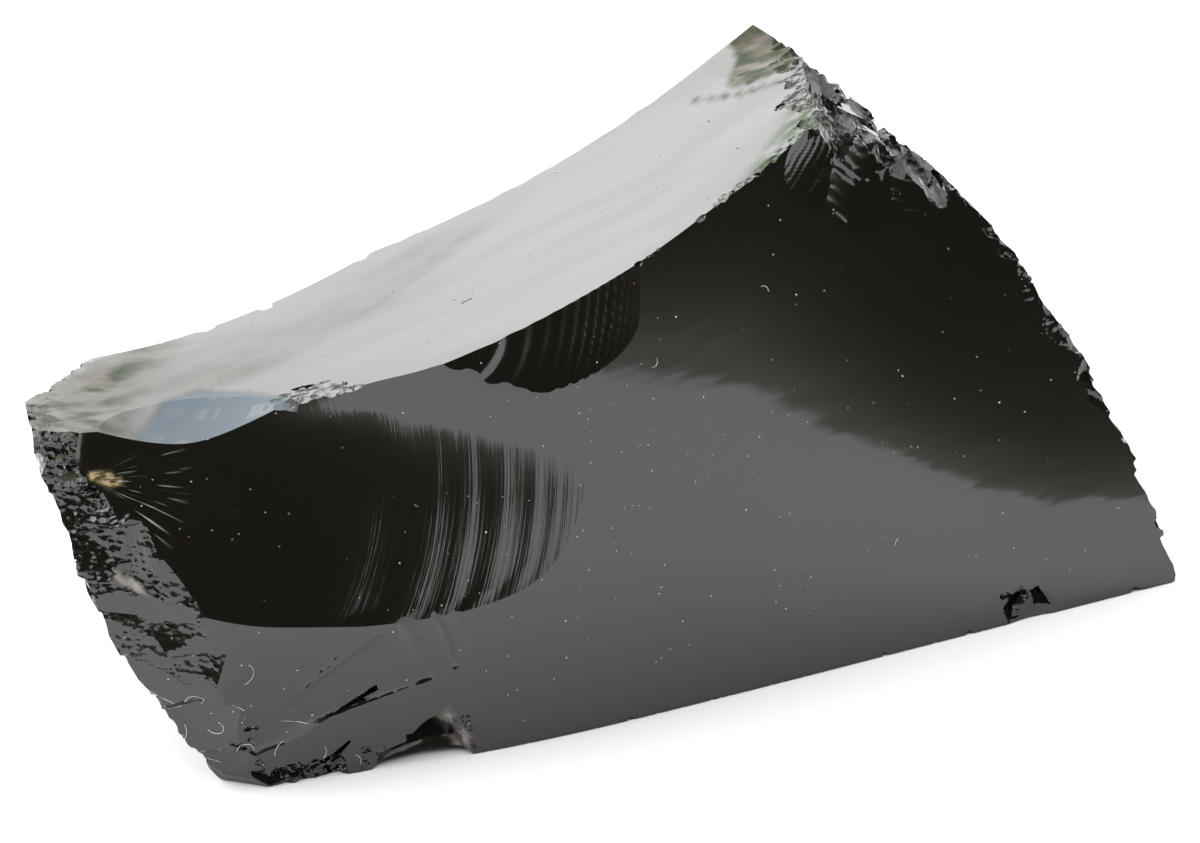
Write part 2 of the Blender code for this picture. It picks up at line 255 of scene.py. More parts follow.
def tightening(strike, first, last, count, slope, longest=6.0, seed=0):
    """Ripples that crowd together towards the far end of a scar, with slopes up to about slope."""
    chance = random.Random(seed)
    wobble = chances(chance, 4, (2, 9), (0.02, 0.10))
    beats = chances(chance, 3, (0.5, 2.2), (0.4, 1.0))

    def wave(a, b):
        away, waver = from_strike(a, b, strike, wobble)
        part = np.clip((away - first) / (last - first), 0.02, 1)
        phase = 2 * math.pi * (count * part**2 + waver)
        length = np.minimum((last - first) / (2 * count * part), longest)
        swell = np.clip((away - first) / 3.0, 0, 1) * np.clip((last - away) / 1.5, 0, 1)
        return slope * length / (2 * math.pi) * swell * beating(beats, phase)

    return wave


def closed_curve(points, strike):
    """Radius from the strike point at any angle, for a smooth closed outline through the points."""
    polar = sorted(
        (math.atan2(b - strike[1], a - strike[0]), math.dist((a, b), strike)) for a, b in points
    )
    turn = np.array([p[0] for p in polar])
    span = np.array([p[1] for p in polar])
    turn = np.concatenate([turn[-2:] - 2 * math.pi, turn, turn[:2] + 2 * math.pi])
    span = np.concatenate([span[-2:], span, span[:2]])
    lean = (span[2:] - span[:-2]) / (turn[2:] - turn[:-2])

    def radius(angle):
        k = np.clip(np.searchsorted(turn, angle, side="right") - 1, 1, len(turn) - 3)
        run = turn[k + 1] - turn[k]
        t = (angle - turn[k]) / run
        start = (2 * t**3 - 3 * t**2 + 1) * span[k] + (t**3 - 2 * t**2 + t) * lean[k - 1] * run
        end = (3 * t**2 - 2 * t**3) * span[k + 1] + (t**3 - t**2) * lean[k] * run
        return start + end

    return radius


FLOOR_ROUNDING = 0.11  # share of the bite over which a scar's lean meets its least depth
FLAKE_FADE = 0.05  # share of a scar, in from its outline, over which its ripples fade
BOWL_FADE = 0.1
BOWL_MARGIN = 1.2


def flake(strike, outline, bite, lean=(0.0, 0.0), power=1.5, waves=(), least=0.3):
    """Depth of a flake scar that runs out at the outline. bite is its depth at the strike, lean is
    what is added to it for each mm along both directions, and least what it doesn't fall below."""
    edge = closed_curve(outline, strike)

    def depth(a, b):
        da, db = a - strike[0], b - strike[1]
        part = np.hypot(da, db) / edge(np.arctan2(db, da))
        over = bite + lean[0] * da + lean[1] * db - least
        deep = least + (over + np.sqrt(over**2 + (FLOOR_ROUNDING * bite) ** 2)) / 2
        scar = deep * (1 - part**power)
        fade = np.clip((1 - part) / FLAKE_FADE, 0, 1)
        return scar + sum(fade * wave(a, b) for wave in waves)

    return depth


def bowl(centre, half, bite, turn, power, waves):
    """Depth of an oval scar: half is its half length and half width, turned by turn degrees."""
    cos, sin = math.cos(math.radians(turn)), math.sin(math.radians(turn))

    def depth(a, b):
        along = (a - centre[0]) * cos + (b - centre[1]) * sin
        across = (b - centre[1]) * cos - (a - centre[0]) * sin
        part = np.hypot(along / half[0], across / half[1])
        fade = np.clip((1 - part) / BOWL_FADE, 0, 1)
        return bite * (1 - part**power) + sum(fade * wave(a, b) for wave in waves)

    return depth


SHELL_REACH = 2.2  # how far the ground goes past the outermost shells, in largest half sizes
SHELL_POWER = 0.85
SHELL_END = 2.5  # where a shell stops, as its place in half sizes, squared
NO_BITE = -1.0  # a depth above the face: nothing is taken off there


class Shelling:
    """Many small overlapping shells. Wherever they overlap the deepest counts, so they meet in
    ridges."""

    def __init__(self, face, centres, small, large, bite, tilt, lean, seed):
        chance = random.Random(seed)
        axis = FACES[face][0]
        self.shells = []
        self.reach = large * SHELL_REACH
        for centre in centres:
            a, b = (centre[n] for n in range(3) if n != axis)
            size = small + (large - small) * chance.random() ** 2
            turn = chance.uniform(0, math.pi)
            cos, sin = math.cos(turn), math.sin(turn)
            half = (size * chance.uniform(1.0, 2.0), size * chance.uniform(0.6, 1.0))
            tip = (
                size * tilt * chance.gauss(0, 0.6) + lean * half[0] * sin,
                size * tilt * chance.gauss(0, 0.6) + lean * half[1] * cos,
            )
            deep = size * bite * chance.uniform(0.6, 1.4)
            self.shells.append(((a, b), half, (cos, sin), deep, tip))

    def area(self):
        return tuple(
            (min(line) - self.reach, max(line) + self.reach)
            for line in zip(*(shell[0] for shell in self.shells))
        )

    def deepest(self, a, b):
        depth = np.full(np.shape(a), NO_BITE)
        which = np.zeros(np.shape(a), int)
        for number, (centre, half, (cos, sin), bite, tip) in enumerate(self.shells):
            da, db = a - centre[0], b - centre[1]
            along = (da * cos + db * sin) / half[0]
            across = (db * cos - da * sin) / half[1]
            away = along**2 + across**2
            deep = bite * (1 - away**SHELL_POWER) + tip[0] * along + tip[1] * across
            deep = np.where(away < SHELL_END, deep, NO_BITE)
            deeper = deep > depth
            depth = np.where(deeper, deep, depth)
            which = np.where(deeper, number, which)
        return depth, which

    def __call__(self, a, b):
        return self.deepest(a, b)[0]


def around(centre, half):
    """The area that a bowl's sheet covers."""
    reach = max(half) * BOWL_MARGIN
    return tuple((middle - reach, middle + reach) for middle in centre)


# ---------------------------------------------------------------- knapping tools


SHELLS_EACH = 1000  # most shells that one sheet can hold, for numbering them


def only(*pieces):
    """Selects these pieces and nothing else, with the first one active."""
    bpy.ops.object.select_all(action="DESELECT")
    for piece in pieces:
        piece.select_set(True)
    if pieces:
        bpy.context.view_layer.objects.active = pieces[0]


@contextmanager
def editing():
    """Works on all of the active piece's mesh."""
    bpy.ops.object.mode_set(mode="EDIT")
    bpy.ops.mesh.select_all(action="SELECT")
    yield
    bpy.ops.object.mode_set(mode="OBJECT")


@contextmanager
def reshaping(mesh):
    """Opens the mesh point by point, and puts the result back."""
    shape = bmesh.new()
    shape.from_mesh(mesh)
    yield shape
    shape.to_mesh(mesh)
    shape.free()


def read(items, field, width=1, kind=float):
    """One value, or a row of width values, for each of a mesh's items."""
    values = np.empty(len(items) * width, kind)
    items.foreach_get(field, values)
    return values.reshape(-1, width) if width > 1 else values


def settled():
    """Makes the active piece's place, turn and scale part of its mesh."""
    bpy.ops.object.transform_apply(location=True, rotation=True, scale=True)


def mark(piece, number):
    """Numbers a cutter's faces, so that the stone keeps which blow each of its faces is from."""
    layer = piece.data.attributes.get("blow")
    if layer is None:
        layer = piece.data.attributes.new("blow", "INT", "FACE")
    numbers = read(layer.data, "value", kind=int)
    layer.data.foreach_set("value", numbers + number * SHELLS_EACH)


def sheet(face, area, step, depth, reach):
    """A closed slab whose inner side is the face, or lies deeper than it by depth(a, b)."""
    axis, way, surface = FACES[face]
    (a_low, a_high), (b_low, b_high) = area
    only()
    bpy.ops.mesh.primitive_grid_add(
        x_subdivisions=max(2, round((a_high - a_low) / step)),
        y_subdivisions=max(2, round((b_high - b_low) / step)),
        size=2,
    )
    slab = bpy.context.object
    flat = read(slab.data.vertices, "co", 3)
    a = a_low + (flat[:, 0] + 1) / 2 * (a_high - a_low)
    b = b_low + (flat[:, 1] + 1) / 2 * (b_high - b_low)
    c = surface(a, b)
    if depth is not None:
        c = c - way * depth(a, b)
    places = np.insert(np.stack([a, b], axis=1), axis, c, axis=1)
    slab.data.vertices.foreach_set("co", (places * MM).ravel())
    if isinstance(depth, Shelling):
        corners = read(slab.data.loops, "vertex_index", kind=int).reshape(-1, 4)
        which = depth.deepest(a[corners].mean(axis=1), b[corners].mean(axis=1))[1]
        layer = slab.data.attributes.new("blow", "INT", "FACE")
        layer.data.foreach_set("value", which)
    sweep = [0.0, 0.0, 0.0]
    sweep[axis] = way * reach * MM
    with editing():
        bpy.ops.mesh.extrude_region_move(TRANSFORM_OT_translate={"value": sweep})
        bpy.ops.mesh.select_all(action="SELECT")
        bpy.ops.mesh.normals_make_consistent(inside=False)
    return slab


def chip(place, half, turn):
    """A small rounded cutter, as volcanic glass chips along an edge."""
    only()
    bpy.ops.mesh.primitive_ico_sphere_add(
        subdivisions=1, radius=MM, location=Vector(place) * MM, rotation=Euler(turn), scale=half
    )
    bite = bpy.context.object
    settled()
    return bite


class Stone:
    """The block under work: each blow takes its cutters off and then clears them away."""

    def __init__(self):
        low, high = Vector(ROUGH_LOW) * MM, Vector(ROUGH_HIGH) * MM
        only()
        bpy.ops.mesh.primitive_cube_add(size=1, location=(low + high) / 2)
        self.piece = bpy.context.object
        self.piece.dimensions = high - low
        settled()
        mark(self.piece, 0)
        self.blows = 0
        self.great = 0  # the blow that struck the great scar
        self.grit = {}  # how gritty the ground is that each blow left

    def strike(self, *cutters):
        """Takes all the cutters off at once, each with its own number."""
        tray = bpy.data.collections.new("cutters")
        for cutter in cutters:
            self.blows += 1
            mark(cutter, self.blows)
            tray.objects.link(cutter)
        bpy.context.view_layer.objects.active = self.piece
        blow = self.piece.modifiers.new("blow", "BOOLEAN")
        blow.operation = "DIFFERENCE"
        blow.solver = "MANIFOLD"
        blow.operand_type = "COLLECTION"
        blow.collection = tray
        bpy.ops.object.modifier_apply(modifier=blow.name)
        for cutter in cutters:
            bpy.data.meshes.remove(cutter.data)
        bpy.data.collections.remove(tray)
        return self.blows


# ---------------------------------------------------------------- blows

# The big breaks: face, area that its sheet covers in the face's own two coordinates, grid step.
# A face's own two coordinates are always given in the order X, Y, Z.
BREAKS = (
    ("front", ((-40, 120), (-8, 74)), 1.0),
    ("top", ((-40, 120), (-20, 64)), 0.9),
    ("back", ((-40, 120), (-8, 74)), 1.4),
    ("side", ((-20, 64), (-8, 74)), 1.2),
    ("facet", ((-20, 20), (-8, 60)), 0.8),
    ("right", ((-20, 64), (-8, 74)), 1.2),
    ("shoulder", ((-40, 8), (-8, 60)), 1.2),
    ("crest", ((60, 110), (-12, 60)), 1.0),
)

GREAT_STRIKE = (-13.0, 33.5)
GREAT_OUTLINE = (
    (-13.6, 28.0), (-11.5, 23.6), (-8.9, 21.8), (-4.7, 20.0), (3.2, 17.0), (9.2, 16.0),
    (18.2, 15.6), (22.2, 15.8), (28.5, 17.2), (32.3, 20.1), (35.2, 25.6), (35.4, 29.7),
    (34.3, 33.0), (31.7, 36.3), (27.0, 40.0), (20.0, 46.0), (8.0, 50.0), (-8.0, 51.0),
    (-14.5, 40.0), (-14.6, 33.0),
)
UPPER_STRIKE = (16.0, 40.0)
COMB_STRIKE = (16.0, 50.0)  # where the upper scar's ripples run from
UPPER_OUTLINE = (
    (43.5, 46.5), (43.6, 43.2), (42.4, 39.4), (38.3, 36.9), (31.7, 36.0), (27.0, 36.4),
    (22.4, 37.2), (17.6, 38.8), (14.0, 42.0), (18.0, 48.0), (30.0, 53.0), (40.0, 52.0),
)
LOWER_STRIKE = (-2.0, 5.0)
LOWER_OUTLINE = (
    (-3.5, 6.5), (4.6, 9.6), (10.0, 13.7), (15.1, 16.0), (20.3, 17.4), (22.4, 14.2),
    (21.9, 11.2), (19.8, 9.4), (13.8, 8.0), (6.9, 6.4), (0.0, 4.2), (-3.5, 3.0),
)
FOOT_STRIKE = (18.5, 1.0)
FOOT_OUTLINE = (
    (11.0, 0.8), (13.3, 2.2), (15.0, 2.7), (18.9, 4.9), (19.7, 3.4), (20.9, 2.8), (21.3, 0.6),
    (17.0, -4.0),
)

# Plain oval scars: face, centre, half sizes, bite, turn in degrees, and the place its ripples run
# from with their spacing and height.
BOWLS = (
    ("top", (-2.0, 5.0), (10.5, 13.5), 3.2, 0, None),
    ("top", (76.5, 37.0), (8.5, 8.0), 1.6, 0, None),
    ("facet", (6.3, 20.0), (5.4, 5.8), 2.1, 0, ((6.3, 27.0), 1.8, 0.03)),
    ("facet", (7.5, 27.5), (4.4, 3.0), 1.3, 20, ((7.5, 31.0), 1.3, 0.03)),
    ("facet", (4.8, 12.6), (4.0, 3.2), 0.9, 60, ((4.8, 17.0), 1.4, 0.02)),
    ("front", (65.8, 49.6), (3.6, 3.4), 0.5, 20, ((62.7, 53.0), 0.9, 0.05)),
    ("front", (71.6, 47.6), (4.6, 5.4), 0.8, -30, ((73.0, 52.0), 1.0, 0.06)),
    ("front", (77.6, 46.0), (3.4, 3.8), 0.6, -40, ((79.0, 50.0), 0.9, 0.05)),
    ("front", (84.6, 0.4), (2.8, 2.6), 0.3, 20, None),
    ("back", (55.0, 36.0), (25.0, 20.0), 6.0, 14, ((66.0, 56.0), 3.4, 0.10)),
    ("back", (22.0, 13.0), (22.0, 15.0), 4.6, -20, ((2.0, 22.0), 3.0, 0.09)),
    ("back", (86.0, 14.0), (18.0, 12.0), 4.2, 35, ((98.0, 4.0), 2.6, 0.08)),
    ("back", (55.0, 4.0), (15.0, 9.0), 3.4, -6, ((55.0, -6.0), 2.2, 0.06)),
    ("right", (30.0, 34.0), (14.0, 15.0), 3.0, 20, ((38.0, 48.0), 2.6, 0.07)),
    ("right", (14.0, 9.0), (12.0, 9.0), 1.8, -10, ((12.0, -2.0), 2.0, 0.05)),
    ("side", (16.0, 26.0), (6.5, 8.0), 1.8, 15, ((16.0, 36.0), 1.6, 0.04)),
    ("shoulder", (-6.0, 14.0), (10.0, 12.0), 2.0, 0, ((-10.0, 28.0), 2.2, 0.05)),
)
BOWL_SEED = 20
BOWL_POWER = 1.6
TOP_BOWL_POWER = 1.15
BOWL_STEPS = 14  # grid steps in a bowl's larger half size
BOWL_STEP_MOST = 0.8

# Crushed and nicked edges: faces that meet, the coordinate that runs along the edge, its two ends,
# how many chips, and the smallest and largest half size of a chip.
EDGES = (
    (("front", "crest"), 0, 66.0, 78.0, 7, 1.0, 2.0),
    (("crest", "right"), 1, 11.0, 40.0, 8, 1.0, 2.2),
    (("front", "right"), 2, 26.0, 46.0, 6, 0.8, 1.6),
    (("front", "right"), 2, 2.0, 22.0, 3, 0.5, 1.0),
    (("facet", "top"), 1, 5.5, 10.0, 5, 0.8, 1.8),
    (("facet", "front"), 2, 22.0, 37.0, 6, 0.8, 1.8),
    (("facet", "side"), 2, 12.0, 37.0, 8, 0.8, 1.9),
    (("side", "top"), 1, 10.0, 21.0, 4, 0.8, 1.6),
    (("top", "front"), 0, 7.0, 17.0, 5, 0.7, 1.3),
    (("top", "front"), 0, 34.0, 62.0, 4, 0.4, 0.9),
    (("top", "back"), 0, 2.0, 72.0, 7, 0.8, 2.0),
    (("top", "shoulder"), 0, -13.0, -3.0, 3, 0.8, 1.6),
    (("front", None), 0, -1.5, 9.0, 3, 0.5, 1.1),
    (("front", None), 0, 70.0, 98.0, 3, 0.4, 0.9),
    (("back", None), 0, 6.0, 90.0, 6, 0.8, 1.8),
    (("right", None), 1, 4.0, 34.0, 3, 0.7, 1.4),
)
CHIP_SINK = 0.45
CHIP_CENTRE = Vector((41.8, 21.1, 24.0))  # the chips lie outwards from here

# Finer crushing that only the finished stone has: the same columns, and the spread across the
# edge.
FINE_EDGES = (
    (("front", "crest"), 0, 64.0, 82.0, 60, 0.25, 0.9, 1.2),
    (("crest", "right"), 1, 11.0, 41.0, 70, 0.3, 1.0, 1.5),
    (("front", "right"), 2, 20.0, 48.0, 60, 0.25, 0.8, 0.8),
    (("front", "right"), 2, 1.0, 22.0, 14, 0.15, 0.4, 0.2),
    (("facet", "top"), 1, 4.5, 12.0, 40, 0.25, 0.8, 0.8),
    (("facet", "front"), 2, 16.0, 38.0, 46, 0.2, 0.7, 0.7),
    (("facet", "side"), 2, 2.0, 38.0, 60, 0.2, 0.9, 0.8),
    (("side", "top"), 1, 8.0, 22.0, 30, 0.25, 0.7, 0.5),
    (("top", "front"), 0, 5.0, 18.0, 40, 0.2, 0.8, 0.7),
    (("top", "front"), 0, 18.0, 66.0, 26, 0.08, 0.3, 0.05),
    (("top", "back"), 0, 2.0, 76.0, 14, 0.1, 0.35, 0.1),
    (("top", "shoulder"), 0, -14.0, -2.0, 16, 0.2, 0.7, 0.3),
    (("front", None), 0, -3.0, 9.0, 26, 0.15, 0.5, 0.3),
    (("front", None), 0, 10.0, 98.0, 40, 0.1, 0.35, 0.05),
    (("back", None), 0, 6.0, 90.0, 30, 0.3, 0.9, 0.4),
    (("right", None), 1, 4.0, 34.0, 20, 0.2, 0.7, 0.3),
)

# Shelled ground: face, where the shells start, how many, smallest and largest half size, depth and
# tilt as shares of size, lean along the face's second coordinate, grid step, and how gritty they
# are. They start anywhere in an area of the face, or along an edge as in EDGES, with the spread
# across it.
SHELLED = (
    ("crest", ((66.0, 94.0), (8.0, 44.0)), 600, 0.5, 1.8, 0.30, 0.5, -0.85, 0.28, 0.12),
    ("front", (("front", "crest"), 0, 66.0, 80.0, 1.2), 60, 0.5, 1.6, 0.15, 0.2, 0.3, 0.2, 0.1),
    ("front", (("front", "right"), 2, 18.0, 47.0, 0.6), 120, 0.3, 1.2, 0.25, 0.3, 0.3, 0.24, 0.2),
    ("right", (("front", "right"), 2, 2.0, 47.0, 1.2), 90, 0.5, 1.8, 0.25, 0.3, 0.3, 0.4, 0.4),
    ("facet", ((3.0, 14.0), (26.0, 41.0)), 460, 0.35, 1.1, 0.35, 0.8, 0.75, 0.2, 1.0),
    ("facet", ((-1.0, 14.0), (18.0, 29.0)), 80, 1.1, 2.8, 0.22, 0.5, 0.6, 0.26, 0.3),
    ("facet", ((-4.0, 11.0), (0.0, 19.0)), 40, 1.3, 3.6, 0.12, 0.25, 0.5, 0.3, 0.1),
    ("side", (("facet", "side"), 2, 2.0, 38.0, 1.5), 90, 0.5, 1.8, 0.25, 0.4, 0.4, 0.35, 0.6),
    ("top", ((5.5, 14.0), (5.0, 12.5)), 130, 0.25, 1.0, 0.2, 0.3, -0.3, 0.18, 0.3),
    ("top", (("top", "front"), 0, 54.0, 67.0, 0.4), 60, 0.2, 0.7, 0.25, 0.3, -0.2, 0.2, 0.6),
    ("top", (("top", "crest"), 1, 12.0, 46.0, 0.9), 150, 0.4, 1.6, 0.2, 0.35, -0.5, 0.26, 0.6),
    ("top", (("top", "facet"), 1, 4.0, 12.0, 0.8), 60, 0.3, 1.0, 0.25, 0.4, -0.5, 0.22, 0.8),
    ("top", (("top", "side"), 1, 10.0, 22.0, 0.6), 60, 0.3, 1.2, 0.2, 0.2, -0.2, 0.26, 0.4),
    ("top", (("top", "shoulder"), 0, -15.0, 0.0, 0.4), 30, 0.3, 1.0, 0.15, 0.15, 0.0, 0.26, 0.3),
    ("front", ((-5.0, 0.0), (0.5, 6.6)), 60, 0.2, 0.9, 0.3, 0.5, 0.5, 0.16, 0.5),
    ("front", ((-2.0, 8.0), (-0.8, 1.2)), 40, 0.2, 0.9, 0.3, 0.4, 0.5, 0.16, 0.6),
    ("front", ((10.5, 15.0), (-0.5, 2.2)), 40, 0.2, 0.6, 0.3, 0.4, 0.0, 0.16, 0.6),
    ("front", ((19.4, 21.4), (0.5, 4.6)), 40, 0.2, 0.6, 0.3, 0.4, 0.0, 0.16, 0.6),
    ("front", (("front", None), 0, -3.0, 6.0, 0.4), 30, 0.2, 0.7, 0.3, 0.3, 0.2, 0.18, 0.5),
    ("front", ((81.8, 84.2), (0.0, 3.0)), 12, 0.3, 0.7, 0.3, 0.4, 0.5, 0.16, 0.3),
)
SHELLS_SEED = SEED + 50

FOOT_NICK_MIDDLE = (16.4, -2.4, -0.6)
FOOT_NICK_HALF = (6.4, 5.0, 2.2)
FOOT_NICK_TURN = (0.0, 0.0, 0.1)

# Gouges with a flat floor that leans up: face, outline, height where the floor meets the face, how
# much it deepens for each millimetre up, and grid step.
GOUGES = (
    ("front", (
        (11.0, -1.0), (12.4, 1.7), (14.9, 2.3), (15.0, 3.3), (17.0, 3.8), (18.5, 4.6), (19.1, 4.7),
        (18.9, 3.7), (19.7, 3.5), (20.0, 2.6), (20.9, 1.9), (20.8, 0.4), (21.2, -1.0),
    ), -0.6, 0.5, 0.2),
    ("front", (
        (7.0, 6.5), (9.0, 7.6), (10.8, 8.5), (12.3, 9.3), (12.5, 8.7), (10.9, 8.0), (11.6, 7.9),
        (10.2, 7.5), (8.2, 6.8),
    ), 6.2, 0.42, 0.14),
    ("front", (
        (4.6, 1.45), (6.2, 1.9), (7.6, 2.6), (9.2, 3.7), (9.4, 3.5), (8.2, 2.3), (6.4, 1.5),
    ), 0.9, 0.42, 0.12),
    ("front", (
        (-0.9, 2.1), (1.4, 1.2), (3.9, 1.2), (5.6, 1.5), (3.9, 0.5), (1.0, 0.1), (-0.7, 1.0),
    ), -0.3, 0.45, 0.14),
    ("front", ((84.7, 3.0), (85.7, 3.2), (87.1, 0.9), (85.1, 1.3)), 0.0, 0.4, 0.16),
    ("front", (
        (81.4, 1.9), (82.9, 3.2), (84.0, 2.6), (82.6, 1.6), (82.4, 0.4), (81.8, -0.1),
    ), -0.2, 0.4, 0.16),
    ("front", (
        (-8.6, 13.7), (-7.3, 16.1), (-5.3, 19.4), (-5.0, 19.2), (-6.8, 15.8), (-8.0, 13.5),
    ), 12.0, 0.12, 0.12),
)
GOUGE_SOFT = 0.05
GOUGE_LEAST = 0.06
GOUGE_MARGIN = 0.4  # how far its sheet goes past its outline

# How far each kind of sheet reaches out of the stone.
BREAK_REACH = 110.0
SCAR_REACH = 60.0
BOWL_REACH = 30.0
SHELL_SHEET_REACH = 20.0


def gouge(outline, low, rise):
    """Depth of a gouge."""

    def deep(a, b):
        floor = np.maximum(rise * (b - low), GOUGE_LEAST)
        return np.where(inside(outline, a, b, GOUGE_SOFT) > 0.5, floor, NO_BITE)

    return deep


def top_relief(x, y):
    return flow(x, y, 60.0, 9.0, 0.10, 3)


def front_relief(x, z):
    return flow(x, z, 80.0, 26.0, 0.05, 5)


RELIEF = {"top": top_relief, "front": front_relief}


def take_big_breaks(stone):
    for face, area, step in BREAKS:
        stone.strike(sheet(face, area, step, RELIEF.get(face), BREAK_REACH))


def strike_scars(stone):
    """The great scar, the one above it, the shallow one below it and the notch in the foot, and
    then the plain oval ones."""
    strong = tightening(GREAT_STRIKE, 26.0, 51.0, 6.0, 0.16, seed=7)
    fine = tightening(GREAT_STRIKE, 30.0, 51.0, 17.0, 0.055, seed=9)
    great = flake(GREAT_STRIKE, GREAT_OUTLINE, 4.9, (-0.03, 0.18), 2.9, (strong, fine), least=1.5)
    stone.great = stone.strike(sheet("front", ((-20, 38), (12, 50)), 0.28, great, SCAR_REACH))
    comb = tightening(COMB_STRIKE, 12.0, 31.0, 9.0, 0.30, seed=6)
    upper = flake(UPPER_STRIKE, UPPER_OUTLINE, 1.3, (0.0, 0.12), waves=(comb,))
    stone.strike(sheet("front", ((12, 46), (34, 52)), 0.32, upper, SCAR_REACH))
    shell = tightening(LOWER_STRIKE, 17.0, 27.0, 5.0, 0.34, longest=2.2, seed=3)
    lower = flake(LOWER_STRIKE, LOWER_OUTLINE, 0.16, (0.004, 0.0), 1.8, (shell,), least=0.1)
    stone.strike(sheet("front", ((-5, 25), (1, 20)), 0.4, lower, SCAR_REACH))
    foot = flake(FOOT_STRIKE, FOOT_OUTLINE, 1.0, (0.0, 0.3), 5.0)
    stone.strike(sheet("front", ((9, 23), (-6, 7)), 0.3, foot, SCAR_REACH))
    for row, (face, centre, half, bite, turn, ripples) in enumerate(BOWLS):
        waves = ()
        if ripples is not None:
            start, spacing, height = ripples
            waves = (rings(start, spacing, spacing, height, BOWL_SEED + row),)
        power = TOP_BOWL_POWER if face == "top" else BOWL_POWER
        scar = bowl(centre, half, bite, turn, power, waves)
        step = min(max(half) / BOWL_STEPS, BOWL_STEP_MOST)
        stone.strike(sheet(face, around(centre, half), step, scar, BOWL_REACH))


# Where to look for the edge of two faces that are measured along the same axis.
SAME_WAY = {("facet", "side"): (-10.0, 30.0), ("top", "crest"): (40.0, 100.0)}
HALVINGS = 30
EDGE_START = (20.0, 10.0, 20.0)
EDGE_ROUNDS = 40


def halved_edge_point(faces, fixed, value):
    """The point of such an edge: the third coordinate is halved in on."""
    axis = FACES[faces[0]][0]
    free = 3 - axis - fixed
    low, high = SAME_WAY[faces]
    one, two = (FACES[face][2] for face in faces)
    point = [0.0, 0.0, 0.0]
    point[fixed] = value
    for _ in range(HALVINGS):
        point[free] = (low + high) / 2
        rest = [point[n] for n in range(3) if n != axis]
        point[axis] = float(one(*rest))
        if (point[axis] > float(two(*rest))) == (faces[0] == "facet"):
            low = point[free]
        else:
            high = point[free]
    return Vector(point)


def edge_point(faces, fixed, value):
    """The point where two faces meet, with one coordinate given. None stands for the table."""
    if faces in SAME_WAY:
        return halved_edge_point(faces, fixed, value)
    point = list(EDGE_START)
    point[fixed] = value
    for _ in range(EDGE_ROUNDS):
        for face in faces:
            if face is None:
                point[2] = 0.0
                continue
            axis, _, surface = FACES[face]
            rest = [point[n] for n in range(3) if n != axis]
            point[axis] = float(surface(*rest))
    return Vector(point)


def crush_edges(stone):
    """The larger chips, at the places that the solid has them."""
    chance = random.Random(SEED)
    chips = []
    for faces, fixed, start, end, count, small, large in EDGES:
        for n in range(count):
            along = start + (end - start) * (n + chance.uniform(0.1, 0.9)) / count
            size = chance.uniform(small, large)
            half = [size * chance.uniform(0.8, 1.5) for _ in range(3)]
            turn = [chance.uniform(0, math.pi) for _ in range(3)]
            edge = edge_point(faces, fixed, along)
            out = (edge - CHIP_CENTRE).normalized()
            chips.append(chip(edge + out * size * CHIP_SINK, half, turn))
    chips.append(chip(FOOT_NICK_MIDDLE, FOOT_NICK_HALF, FOOT_NICK_TURN))
    stone.strike(*chips)


def crush_finely(stone):
    """The small chips that only the finished stone has, spread across each edge."""
    chance = random.Random(SEED + 1)
    for faces, fixed, start, end, count, small, large, spread in FINE_EDGES:
        chips = []
        for _ in range(count):
            along = start + (end - start) * chance.random()
            size = small + (large - small) * chance.random() ** 2
            half = [size * chance.uniform(0.6, 1.8) for _ in range(3)]
            turn = [chance.uniform(0, math.pi) for _ in range(3)]
            edge = edge_point(faces, fixed, along)
            out = (edge - CHIP_CENTRE).normalized()
            place = edge + out * size * chance.uniform(0.1, 0.7)
            place += Vector([chance.gauss(0, spread / 2) for _ in range(3)])
            chips.append(chip(place, half, turn))
        stone.strike(*chips)


def starts(where, count, chance):
    """Places for shells: scattered over an area of a face, or along an edge."""
    if len(where) == 2:
        return [[chance.uniform(*where[0]), chance.uniform(*where[1])] for _ in range(count)]
    faces, fixed, start, end, spread = where
    places = []
    for _ in range(count):
        edge = edge_point(faces, fixed, start + (end - start) * chance.random())
        places.append(edge + Vector([chance.gauss(0, spread) for _ in range(3)]))
    return places


def shell_ground(stone):
    chance = random.Random(SEED + 2)
    for row, (face, where, count, *shape, step, grit) in enumerate(SHELLED):
        centres = starts(where, count, chance)
        if len(where) == 2:
            for place in centres:
                place.insert(FACES[face][0], 0.0)
        shells = Shelling(face, centres, *shape, SHELLS_SEED + row)
        cutter = sheet(face, shells.area(), step, shells, SHELL_SHEET_REACH)
        stone.grit[stone.strike(cutter)] = grit


def gouge_ground(stone):
    for face, outline, low, rise, step in GOUGES:
        first = np.min(outline, axis=0) - GOUGE_MARGIN
        last = np.max(outline, axis=0) + GOUGE_MARGIN
        depth = gouge(outline, low, rise)
        stone.strike(sheet(face, tuple(zip(first, last)), step, depth, SHELL_SHEET_REACH))


